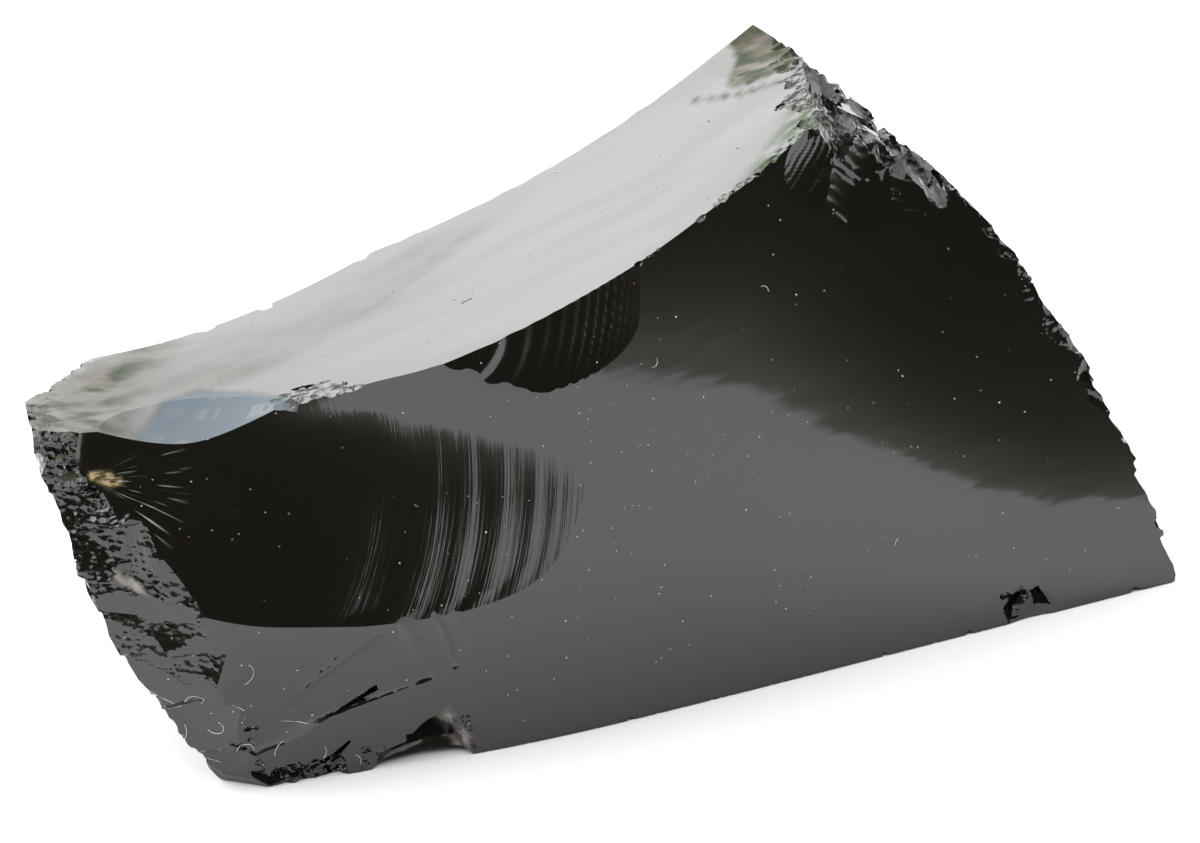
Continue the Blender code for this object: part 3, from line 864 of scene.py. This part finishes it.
# Places with a finish of their own, some of them painted light: name, face, outline in the face's
# two coordinates, how soft the outline is, and how strong the finish.
PLACES = (
    ("weathered_and_ridge_shade", "top", (
        (78.0, 48.0), (78.0, 38.7), (75.4, 32.7), (71.7, 29.7), (70.0, 30.6), (68.1, 31.1),
        (67.2, 33.8), (71.5, 40.0), (73.4, 46.6),
    ), 0.7, 1.0),
    # Painted shade: a thin dark line along a ridge near the crest.
    ("weathered_and_ridge_shade", "top", (
        (63.5, 35.6), (65.4, 32.1), (67.3, 29.2), (70.8, 26.2), (70.4, 27.0), (67.6, 30.0),
        (65.9, 32.9), (64.3, 35.8),
    ), 0.5, 1.0),
    # A dull darker skin in long patchy streaks over the whole top.
    ("streaked", "top", ((-20.0, -4.0), (82.0, -4.0), (82.0, 52.0), (-20.0, 52.0)), 1.0, 1.0),
    # Painted highlight along the lower left edge of the great scar.
    ("edge_highlight", "front", (
        (-12.2, 24.5), (-10.0, 23.1), (-8.2, 21.4), (-8.6, 21.0), (-10.6, 22.0), (-12.4, 23.6),
    ), 0.5, 1.0),
    ("weathered_and_ridge_shade", "top", (
        (-19.0, 12.0), (-17.0, 19.0), (-12.0, 25.0), (-5.0, 32.0), (2.0, 38.5), (5.0, 36.0),
        (-1.0, 28.0), (-5.0, 21.0), (-9.0, 11.0), (-12.0, 6.0),
    ), 5.0, 0.72),
    ("grazed", "top", (
        (-9.5, 9.0), (-2.0, 18.5), (2.3, 20.0), (5.5, 16.5), (8.0, 12.4), (10.0, 2.0), (-9.5, 2.0),
    ), 0.8, 1.0),
    # Painted greenish reflection on the top near the crest.
    ("green_reflection", "top", (
        (71.5, 22.0), (69.5, 14.5), (62.8, 9.6), (58.5, 7.6), (52.0, 6.0), (56.0, 9.4),
        (62.8, 14.4), (66.5, 18.5),
    ), 2.4, 1.0),
    # Painted golden sheen near the great strike.
    ("golden_sheen", "front", (
        (-12.9, 34.2), (-9.6, 33.6), (-9.4, 32.3), (-10.9, 32.2), (-12.6, 33.3),
    ), 0.4, 1.0),
    # Painted highlights along both rims of the notch in the foot.
    ("edge_highlight", "front", (
        (18.6, 5.2), (20.1, 4.9), (21.2, 2.8), (21.6, 0.4), (19.8, 0.4), (19.3, 2.5), (18.4, 3.8),
    ), 0.7, 1.0),
    ("edge_highlight", "front", (
        (10.6, -0.6), (12.0, 1.8), (14.9, 2.6), (15.2, 1.7), (12.4, 0.4), (12.0, -0.8),
    ), 0.7, 0.6),
)
PLACE_REACH = 6.0  # a place reaches no further than this from its face
PLACE_FACING = 0.62  # how squarely its ground faces as its face does


def inside(outline, a, b, soft):
    """1 inside the outline and 0 outside it, with an edge this soft."""
    away = np.full(np.shape(a), 1e9)
    within = np.zeros(np.shape(a), bool)
    for (a0, b0), (a1, b1) in zip(outline, outline[1:] + outline[:1]):
        run, rise = a1 - a0, b1 - b0
        part = np.clip(((a - a0) * run + (b - b0) * rise) / (run**2 + rise**2), 0, 1)
        away = np.minimum(away, np.hypot(a - a0 - part * run, b - b0 - part * rise))
        crosses = ((b0 > b) != (b1 > b)) & (a < run * (b - b0) / (rise + 1e-9) + a0)
        within ^= crosses
    return np.clip(0.5 + np.where(within, away, -away) / soft, 0, 1)


def keep(piece, name, values, domain="POINT"):
    """Keeps a number for each of the piece's points, corners or faces, for its material."""
    layer = piece.data.attributes.new(name, "FLOAT", domain)
    layer.data.foreach_set("value", np.ascontiguousarray(values, dtype=np.float32))


def mark_places(stone, places):
    """Keeps how far each place reaches, how gritty each scar is, and where each point lies in the
    fan of the great strike."""
    mesh = stone.piece.data
    corner = read(mesh.loops, "vertex_index", kind=int)
    sides = read(mesh.polygons, "loop_total", kind=int)
    facing = np.repeat(read(mesh.polygons, "normal", 3), sides, axis=0)
    shares = {}
    for name, face, outline, soft, strength in PLACES:
        axis, way, surface = FACES[face]
        a, b = (places[:, n] for n in range(3) if n != axis)
        near = abs(places[:, axis] - surface(a, b)) < PLACE_REACH
        share = (strength * inside(outline, a, b, soft) * near)[corner]
        if axis == 2:
            share = share * (facing[:, axis] * way > PLACE_FACING)
        shares[name] = np.maximum(shares.get(name, 0), share)
    for name, share in shares.items():
        keep(stone.piece, name, share, "CORNER")
    da, db = places[:, 0] - GREAT_STRIKE[0], places[:, 2] - GREAT_STRIKE[1]
    keep(stone.piece, "fan_away", np.hypot(da, db))
    keep(stone.piece, "fan_turn", np.arctan2(db, da))
    blows = read(mesh.attributes["blow"].data, "value", kind=int) // SHELLS_EACH
    keep(stone.piece, "grit", [stone.grit.get(blow, 0.0) for blow in blows], "FACE")
    keep(stone.piece, "great", blows == stone.great, "FACE")


SHARP = math.radians(33)  # edges that turn more than this stay sharp
SLIVER = 0.000005  # metres: shorter edges than this are joined


def part_shared_edges(shape, whole):
    """Where a face was split along a line that its neighbours already share, gives it a point of
    its own there, so that every edge has two sides."""
    for edge in [edge for edge in shape.edges if len(edge.link_faces) > 2]:
        owners = [face[whole] for face in edge.link_faces]
        split = next(owner for owner in owners if owners.count(owner) == 2)
        middle = shape.verts.new((edge.verts[0].co + edge.verts[1].co) / 2)
        for face in [face for face in edge.link_faces if face[whole] == split]:
            corners = list(face.verts)
            for end in edge.verts:
                half = shape.faces.new([middle if corner is end else corner for corner in corners])
                half.copy_from_face_interp(face)
            shape.faces.remove(face)


def drop_splinters(shape):
    """Clears away what the blows cut loose from the stone."""
    left, loose = set(shape.verts), []
    while left:
        start = next(iter(left))
        left.discard(start)
        grown, part = [start], [start]
        while grown:
            for edge in grown.pop().link_edges:
                for end in edge.verts:
                    if end in left:
                        left.discard(end)
                        grown.append(end)
                        part.append(end)
        loose.append(part)
    loose.remove(max(loose, key=len))
    bmesh.ops.delete(shape, geom=[end for part in loose for end in part], context="VERTS")


def clean(piece):
    """Joins slivers, and makes the mesh one closed skin of triangles."""
    only(piece)
    with editing():
        bpy.ops.mesh.remove_doubles(threshold=SLIVER)
        bpy.ops.mesh.dissolve_degenerate(threshold=SLIVER)
        bpy.ops.mesh.select_all(action="SELECT")
        bpy.ops.mesh.delete_loose()
    with reshaping(piece.data) as shape:
        whole = shape.faces.layers.int.new("whole")
        for number, face in enumerate(shape.faces):
            face[whole] = number
        ways = {"quad_method": "BEAUTY", "ngon_method": "BEAUTY"}
        bmesh.ops.triangulate(shape, faces=shape.faces, **ways)
        part_shared_edges(shape, whole)
        drop_splinters(shape)
        shape.faces.layers.int.remove(whole)


def finish_stone(stone):
    """Sets the stone in its place, and lets it shade smoothly inside each scar only."""
    piece = stone.piece
    clean(piece)
    places = read(piece.data.vertices, "co", 3)
    mark_places(stone, places / MM)
    places = np.clip(places - np.array(MIDDLE) * MM, *(np.array(corner) for corner in CAD_BOX))
    piece.data.vertices.foreach_set("co", places.ravel())
    piece.data.shade_smooth()
    with reshaping(piece.data) as shape:
        blow = shape.faces.layers.int["blow"]
        for edge in shape.edges:
            sides = {face[blow] for face in edge.link_faces}
            edge.smooth = len(sides) == 1 and edge.calc_face_angle(0.0) < SHARP
    return piece


# ---------------------------------------------------------------- materials


class Tree:
    """A short way to write a node tree."""

    def __init__(self, owner):
        owner.use_nodes = True
        self.tree = owner.node_tree

    def add(self, kind, inputs=(), **settings):
        made = self.tree.nodes.new(kind)
        for key, value in settings.items():
            setattr(made, key, value)
        for key, value in dict(inputs).items():
            self.plug(value, made.inputs[key])
        return made

    def plug(self, value, socket):
        if isinstance(value, bpy.types.NodeSocket):
            self.tree.links.new(value, socket)
        elif socket.type == "RGBA":
            socket.default_value = (*value, 1.0)
        else:
            socket.default_value = value

    def spread(self, value, low, high, to_low=0.0, to_high=1.0, kind="LINEAR"):
        ends = {"From Min": low, "From Max": high, "To Min": to_low, "To Max": to_high}
        made = self.add("ShaderNodeMapRange", {"Value": value, **ends}, interpolation_type=kind)
        return made.outputs["Result"]

    def reckon(self, kind, one, two=0.0):
        return self.add("ShaderNodeMath", {0: one, 1: two}, operation=kind).outputs[0]

    def sum(self, one, two):
        return self.reckon("ADD", one, two)

    def times(self, one, two):
        return self.reckon("MULTIPLY", one, two)

    def blend(self, share, one, two):
        """A mixture of two shaders."""
        return self.add("ShaderNodeMixShader", {0: share, 1: one, 2: two}).outputs[0]

    def seen(self):
        """1 where it is looked at directly, and 0 in reflections and in the light it gives."""
        return self.add("ShaderNodeLightPath").outputs["Is Camera Ray"]


class Material(Tree):
    """A material's node tree, with patterns that follow the place on the stone."""

    def __init__(self, name):
        self.material = bpy.data.materials.new(name)
        super().__init__(self.material)
        self.shader = self.tree.nodes["Principled BSDF"]
        self.place = self.add("ShaderNodeTexCoord").outputs["Object"]

    def stretched(self, scale, turn=0.0):
        """The place on the stone, turned about Z and then scaled: 1000 counts in millimetres."""
        turn = (0.0, 0.0, turn)
        scale = scale if isinstance(scale, tuple) else (scale, scale, scale)
        place = self.place
        for key, value in (("Rotation", turn), ("Scale", scale)):
            place = self.add("ShaderNodeMapping", {"Vector": place, key: value}).outputs[0]
        return place

    def noise_at(self, place, detail):
        inputs = {"Vector": place, "Scale": 1.0, "Detail": detail, "Roughness": 0.5}
        return self.add("ShaderNodeTexNoise", inputs).outputs["Fac"]

    def noise(self, scale, detail, turn=0.0):
        return self.noise_at(self.stretched(scale, turn), detail)

    def cells(self, scale):
        inputs = {"Vector": self.stretched(scale), "Scale": 1.0}
        return self.add("ShaderNodeTexVoronoi", inputs).outputs["Distance"]

    def kept(self, name):
        """What the mesh keeps under this name."""
        return self.add("ShaderNodeAttribute", attribute_name=name).outputs["Fac"]

    def mixed(self, share, one, two):
        """A mixture of two colours."""
        made = self.add("ShaderNodeMix", {0: share, 6: one, 7: two}, data_type="RGBA")
        return made.outputs[2]

    def bump(self, height, strength, distance, under=None):
        inputs = {"Height": height, "Strength": strength, "Distance": distance}
        if under is not None:
            inputs["Normal"] = under
        return self.add("ShaderNodeBump", inputs).outputs[0]


# Colours, as the shares of red, green and blue that they give back.
GLASS_DARK, GLASS_OLIVE = (0.0050, 0.0048, 0.0040), (0.0085, 0.0078, 0.0055)
WORN_GREEN, WORN_BROWN = (0.018, 0.028, 0.010), (0.085, 0.070, 0.052)
# Painted light among these: the green is a greenish reflection, the pale a highlight along edges,
# the gold a sheen, and the hackle colour highlights on hackle ridges.
GREEN_REFLECTION, GRAZED, EDGE_HIGHLIGHT = (0.040, 0.062, 0.024), (0.085, 0.105, 0.125), (0.33, 0.29, 0.27)
GOLD_SHEEN_DARK, GOLD_SHEEN_LIGHT = (0.09, 0.06, 0.02), (0.62, 0.50, 0.26)
HACKLE_HIGHLIGHT = (0.55, 0.55, 0.52)
DUST_TONES = ((0.42, 0.42, 0.40), (0.80, 0.80, 0.78))
RUSTY_TONES = ((0.26, 0.09, 0.06), (0.42, 0.20, 0.14))
LINT_TONES = ((0.36, 0.33, 0.26), (0.72, 0.70, 0.62))

GLASS_IOR = 1.6
SKIN_ROUGHNESS = 0.55
SKIN_IOR = 1.3
SKIN_SHINE = 0.2
SCRATCHES = ((900.0, 0.75), (760.0, -0.95))  # how close, and which way, for each set of lines


def glass_relief(glass):
    """Relief finer than the mesh: grit on crushed ground, faint arcs round the great strike further
    out, and low waves. Gives back where the fan of hackles round the great strike lies, for their
    painted highlights; they get no relief."""
    grains = glass.sum(glass.cells(1300.0), glass.times(glass.noise(700.0, 2.0), 1.4))
    relief = glass.bump(glass.times(grains, glass.kept("grit")), 1.0, 0.0005)
    away, turn, great = (glass.kept(name) for name in ("fan_away", "fan_turn", "great"))

    def fanned(x, y, z, detail):
        fan = glass.add("ShaderNodeCombineXYZ", {0: x, 1: y, 2: z})
        return glass.noise_at(fan.outputs[0], detail)

    # Painted highlights on the fine hackle ridges that fan out from the great strike; the hackles
    # get no bump.
    hackle = fanned(glass.times(turn, 26.0), glass.times(away, 0.16), 0.0, 1.5)
    near = glass.times(glass.spread(away, 2.0, 4.0), glass.spread(away, 11.0, 7.0))
    near = glass.times(near, great)
    below = glass.spread(turn, 0.3, 0.1)
    hackle_highlights = glass.times(glass.times(glass.spread(hackle, 0.60, 0.68), near), below)
    arcs = fanned(glass.times(away, 3.2), glass.times(turn, 2.5), 3.0, 3.0)
    far = glass.times(glass.spread(away, 20.0, 34.0), great)
    relief = glass.bump(glass.times(arcs, far), 0.5, 0.00022, relief)
    relief = glass.bump(glass.noise((26.0, 150.0, 150.0), 3.0, -0.32), 0.06, 0.0004, relief)
    glass.plug(relief, glass.shader.inputs["Normal"])
    return hackle_highlights


def glass_skin(glass, hackle_highlights):
    """The dull skin over worn places and over painted light (a greenish reflection, a golden sheen,
    highlights along edges and on hackles, and a dark shade line along a ridge), and how much of it
    shows.
    """
    names = ("weathered_and_ridge_shade", "grazed", "green_reflection", "golden_sheen", "edge_highlight", "streaked")
    weathered_and_ridge_shade, grazed, green_reflection, golden_sheen, edge_highlight, streaked = (glass.kept(name) for name in names)
    streak = glass.noise((90.0, 480.0, 480.0), 5.0, -0.2)
    mottle = glass.noise(330.0, 4.0)
    # Painted golden sheen, laid in soft bars.
    sheen_bars = glass.noise((900.0, 900.0, 3200.0), 3.0)
    gold_sheen = glass.mixed(glass.spread(sheen_bars, 0.4, 0.6), GOLD_SHEEN_DARK, GOLD_SHEEN_LIGHT)
    tone = glass.mixed(glass.spread(mottle, 0.38, 0.62), WORN_GREEN, WORN_BROWN)
    # Painted light laid over the skin's tone: a greenish reflection, a golden sheen, and highlights
    # on hackles and along edges; the grazed colour is wear.
    for share, colour in (
        (green_reflection, GREEN_REFLECTION), (grazed, GRAZED), (golden_sheen, gold_sheen), (hackle_highlights, HACKLE_HIGHLIGHT), (edge_highlight, EDGE_HIGHLIGHT),
    ):
        tone = glass.mixed(share, tone, colour)
    looks = {"Base Color": tone, "Roughness": SKIN_ROUGHNESS, "IOR": SKIN_IOR}
    looks["Specular IOR Level"] = SKIN_SHINE
    skin = glass.add("ShaderNodeBsdfPrincipled", looks).outputs[0]

    lines = [
        glass.spread(glass.noise((close, 18.0, 18.0), 2.0, way), 0.46, 0.56)
        for close, way in SCRATCHES
    ]
    scratches = glass.spread(glass.times(*lines), 0.0, 1.0, 0.9, 0.55)
    # Long patchy streaks of the dull skin over the top.
    long_streaks = glass.noise((9.0, 120.0, 40.0), 5.0, -0.36)
    patches = glass.noise((22.0, 48.0, 30.0), 3.0, 0.25)
    long_streaks = glass.times(glass.spread(long_streaks, 0.42, 0.66), glass.spread(patches, 0.35, 0.65))
    worn = glass.spread(glass.sum(streak, mottle), 0.85, 1.15, 1.15, 0.62)
    # The weathered places are real wear, but this cover also paints a dark shade line along a ridge
    # near the crest.
    cover = glass.times(weathered_and_ridge_shade, worn)
    for place, share in (
        (edge_highlight, glass.spread(mottle, 0.4, 0.6, 0.0, 0.8)),
        (streaked, glass.times(long_streaks, 0.5)),
        (grazed, scratches),
        (green_reflection, glass.spread(streak, 0.45, 0.6, 0.0, 0.9)),
        (golden_sheen, glass.spread(mottle, 0.42, 0.55, 0.0, 0.9)),
        (hackle_highlights, 0.7),
    ):
        cover = glass.sum(cover, glass.times(place, share))
    return skin, glass.spread(cover, 0.0, 1.0)


def volcanic_glass():
    """Black glass with an olive cast and faint smears. Weathered and grazed places, grit on the
    crushed edges, and painted light: a greenish reflection, a golden sheen, highlights along edges
    and on the fine hackles that fan out from the great strike, and a dark shade line along a ridge."""
    glass = Material("volcanic_glass")
    smear = glass.noise((60.0, 240.0, 160.0), 4.0, 0.1)
    colour = glass.mixed(glass.noise(35.0, 3.0), GLASS_DARK, GLASS_OLIVE)
    glass.plug(colour, glass.shader.inputs["Base Color"])
    glass.plug(glass.spread(smear, 0.35, 0.7, 0.03, 0.085), glass.shader.inputs["Roughness"])
    glass.plug(GLASS_IOR, glass.shader.inputs["IOR"])
    skin, cover = glass_skin(glass, glass_relief(glass))
    over = glass.blend(cover, glass.shader.outputs[0], skin)
    glass.plug(over, glass.tree.nodes["Material Output"].inputs["Surface"])
    return glass.material


def pale_floor():
    """White in the glass. Seen directly it is toned down, so that its soft shadow shows."""
    floor = Material("pale_floor")
    tone = floor.mixed(floor.seen(), FLOOR_IN_GLASS, FLOOR_SEEN)
    floor.plug(tone, floor.shader.inputs["Base Color"])
    floor.plug(0.9, floor.shader.inputs["Roughness"])
    floor.plug(0.0, floor.shader.inputs["Specular IOR Level"])
    return floor.material


# ---------------------------------------------------------------- dust and lint

# Dust: face, area in its two coordinates, and how many specks lie there.
DUST = (
    ("front", ((-12.0, 60.0), (2.0, 38.0)), 150),
    ("front", ((20.0, 96.0), (4.0, 48.0)), 120),
    ("top", ((-8.0, 74.0), (4.0, 40.0)), 36),
    ("facet", ((0.0, 12.0), (4.0, 34.0)), 14),
)
DUST_HALF = (0.05, 0.13)
REDDISH = 0.12  # share of the specks

# Lint: face, start, way in degrees, length, curl in degrees per millimetre, and the change of curl
# along the fibre.
LINT = (
    ("front", (-4.6, 9.2), 40, 3.3, 74, -6),
    ("front", (-3.4, 7.6), -20, 2.4, -96, 10),
    ("front", (-0.9, 11.9), 10, 2.7, 36, 12),
    ("front", (-0.5, 4.6), 80, 3.0, 84, -16),
    ("front", (2.5, 7.0), -4, 2.8, -11, 3),
    ("front", (-1.2, 9.1), 120, 1.6, 48, 0),
    ("front", (6.7, 3.5), -60, 1.4, -60, 20),
    ("front", (2.6, 4.9), 200, 1.9, 29, 8),
    ("front", (10.1, 0.9), 60, 1.3, 72, 0),
    ("front", (-9.3, 10.8), -50, 2.6, 24, -12),
    ("front", (-6.1, 6.7), -70, 2.3, -31, 10),
    ("front", (-3.2, 2.6), 150, 1.7, 41, 0),
    ("front", (-8.2, 8.6), -40, 2.2, 53, -20),
    ("front", (44.0, 36.0), -30, 1.3, 132, -30),
    ("front", (57.5, 40.5), 20, 1.2, -108, 30),
    ("front", (70.0, 12.0), 200, 0.9, 72, 0),
    ("top", (30.0, 18.0), 30, 1.2, -48, 10),
)
LINT_HALF = 0.032
LINT_POINTS = 22
LINT_JOIN = 0.000001  # metres

ABOVE = 8.0  # how far off a face to start from, to meet the stone under it


def on_stone(stone, face, a, b):
    """Where the line across the face at (a, b) meets the stone, and the way out of it there."""
    axis, way, surface = FACES[face]
    start, across = [a, b], [0.0, 0.0]
    start.insert(axis, float(surface(a, b)) + ABOVE * way)
    across.insert(axis, -float(way))
    start = (Vector(start) - Vector(MIDDLE)) * MM
    hit, place, out, _ = stone.ray_cast(start, Vector(across))
    return (place, out) if hit else (None, None)


def speck_material(name, tones, rough):
    """Pale matt fluff, one speck a little lighter than the next."""
    speck = Material(name)
    tone = speck.noise(700.0, 3.0)
    inputs = {
        "Base Color": speck.mixed(speck.spread(tone, 0.35, 0.65), *tones),
        "Roughness": rough,
        "IOR": 1.4,
        "Normal": speck.bump(tone, 0.4, 0.00002),
    }
    for key, value in inputs.items():
        speck.plug(value, speck.shader.inputs[key])
    return speck.material


def gathered(pieces, name):
    """Joins the pieces into one, its own place the stone's."""
    only(*pieces)
    bpy.ops.object.join()
    joined = bpy.context.object
    joined.name = name
    settled()
    return joined


def scatter_dust(stone):
    """Specks of dust: a few small lumps, each shaped once, and copied to where the others lie."""
    chance = random.Random(SEED + 7)
    spots = []
    for face, ((a0, a1), (b0, b1)), count in DUST:
        for _ in range(count):
            place, out = on_stone(stone, face, chance.uniform(a0, a1), chance.uniform(b0, b1))
            if place is not None:
                spots.append((place, out, chance.random() < REDDISH))
    materials = {
        False: speck_material("dust", DUST_TONES, 0.8),
        True: speck_material("rusty_dust", RUSTY_TONES, 0.85),
    }
    first = {}
    lumps = []
    for place, out, red in spots:
        size = chance.uniform(*DUST_HALF) * chance.uniform(0.6, 1.0) * MM
        only()
        if red not in first:
            bpy.ops.mesh.primitive_ico_sphere_add(subdivisions=1, radius=1.0)
            lump = first[red] = bpy.context.object
            with editing():
                bpy.ops.transform.vertex_random(offset=0.25, seed=3 + red)
            lump.data.materials.append(materials[red])
        else:
            lump = first[red].copy()
            lump.data = first[red].data.copy()
            bpy.context.collection.objects.link(lump)
        lump.location = place + out * size * 0.5
        lump.scale = (size, size * chance.uniform(0.5, 1.0), size * chance.uniform(0.6, 1.0))
        lump.rotation_euler = [chance.uniform(0, 6.28) for _ in range(3)]
        lumps.append(lump)
    bpy.context.view_layer.update()
    dust = gathered(lumps, "dust_specks")
    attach(dust, "root")


def lay_lint(stone):
    """Fine pale fibres that lie curled on the stone."""
    fluff = speck_material("lint", LINT_TONES, 0.7)
    fibres = []
    for face, (a, b), way, length, curl, change in LINT:
        points = []
        for number in range(LINT_POINTS):
            place, out = on_stone(stone, face, a, b)
            if place is not None:
                points.append(place + out * LINT_HALF * 1.6 * MM)
            step = length / (LINT_POINTS - 1)
            way += (curl + change * number * step) * step
            a += step * math.cos(math.radians(way))
            b += step * math.sin(math.radians(way))
        line = bpy.data.curves.new("fibre", "CURVE")
        line.dimensions = "3D"
        spline = line.splines.new("POLY")
        spline.points.add(len(points) - 1)
        for knot, point in zip(spline.points, points):
            knot.co = (*point, 1.0)
        line.bevel_depth = LINT_HALF * MM
        line.bevel_resolution = 2
        line.use_fill_caps = True
        fibre = bpy.data.objects.new("fibre", line)
        bpy.context.collection.objects.link(fibre)
        line.materials.append(fluff)
        fibres.append(fibre)
    only(*fibres)
    bpy.ops.object.convert(target="MESH")
    lint = gathered(fibres, "lint_fibres")
    with editing():
        bpy.ops.mesh.remove_doubles(threshold=LINT_JOIN)
    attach(lint, "root")


# ---------------------------------------------------------------- studio

FLOOR_IN_GLASS = (0.95, 0.97, 1.0)
FLOOR_SEEN = (0.85, 0.85, 0.85)
FLOOR_SIZE = 3.0
FLOOR_DROP = 0.0001  # metres that the floor lies under the stone
WINDOW_LIGHT = 6.2  # behind and above the stone
WINDOW_TINT = (0.985, 1.0, 1.0)
WALL_LIGHT = 0.7  # low all round, where the floor meets the walls
WALL_FADE = 0.05
ROOM_LIGHT = 0.035  # the dark room in front
ROOM_TINT = (1.0, 0.97, 0.84)
WHITE = (1.0, 1.0, 1.0)


def studio():
    """Bright behind and overhead, dark in front, as a window behind the stone."""
    world = bpy.data.worlds.new("studio")
    bpy.context.scene.world = world
    sky = Tree(world)
    sky.tree.nodes.clear()
    way = sky.add("ShaderNodeTexCoord").outputs["Generated"]
    part = sky.add("ShaderNodeSeparateXYZ", {0: way})
    across, back_way, rise = (part.outputs[axis] for axis in "XYZ")

    # The window is brightest part way up, and weaker to the right.
    toward = sky.sum(sky.times(back_way, 0.8), sky.times(rise, 0.9))
    window = sky.spread(toward, 0.1, 0.5, 0.0, WINDOW_LIGHT, "SMOOTHSTEP")
    window = sky.times(window, sky.spread(rise, 0.45, 0.9, 1.0, 0.38, "SMOOTHSTEP"))
    window = sky.times(window, sky.spread(rise, 0.05, 0.5, 0.37, 1.0))
    window = sky.times(window, sky.spread(across, 0.1, 0.6, 1.0, 0.5))
    wall = sky.reckon("EXPONENT", sky.times(rise, -1 / WALL_FADE))
    wall = sky.times(sky.reckon("MINIMUM", wall, 1.0), WALL_LIGHT)

    def lit(tint, strength):
        inputs = {"Color": tint, "Strength": strength}
        return sky.add("ShaderNodeBackground", inputs).outputs[0]

    lights = {0: lit(WINDOW_TINT, window), 1: lit(ROOM_TINT, sky.sum(wall, ROOM_LIGHT))}
    light = sky.add("ShaderNodeAddShader", lights).outputs[0]
    both = sky.blend(sky.seen(), light, lit(WHITE, 1.0))
    sky.add("ShaderNodeOutputWorld", {0: both})

    only()
    bpy.ops.mesh.primitive_plane_add(size=FLOOR_SIZE, location=(0.0, 0.0, -FLOOR_DROP))
    floor = bpy.context.object
    floor.name = "floor"
    settled()
    floor.data.materials.append(pale_floor())
    bpy.context.scene.view_settings.view_transform = "Standard"


CAMERA_TURN = -25.0
CAMERA_RISE = 30.0
CAMERA_AWAY = 520.0
CAMERA_TARGET = (-2.574, -14.490, 28.923)
CAMERA_LENS = 156.0
CAMERA_SENSOR = 36.0


def camera():
    turn, rise = math.radians(CAMERA_TURN), math.radians(CAMERA_RISE)
    level = math.cos(rise)
    away = Vector((math.sin(turn) * level, -math.cos(turn) * level, math.sin(rise)))
    bpy.ops.object.camera_add(location=(Vector(CAMERA_TARGET) + away * CAMERA_AWAY) * MM)
    eye = bpy.context.object
    eye.rotation_euler = away.to_track_quat("Z", "Y").to_euler()
    eye.data.lens = CAMERA_LENS
    eye.data.sensor_width = CAMERA_SENSOR
    bpy.context.scene.camera = eye


def main():
    stone = Stone()
    take_big_breaks(stone)
    strike_scars(stone)
    crush_edges(stone)
    crush_finely(stone)
    shell_ground(stone)
    gouge_ground(stone)
    glass = finish_stone(stone)
    glass.name = "volcanic_glass"
    glass.data.materials.clear()
    glass.data.materials.append(volcanic_glass())
    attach(glass, "root")
    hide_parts(NODE)
    scatter_dust(glass)
    lay_lint(glass)
    studio()
    camera()


main()
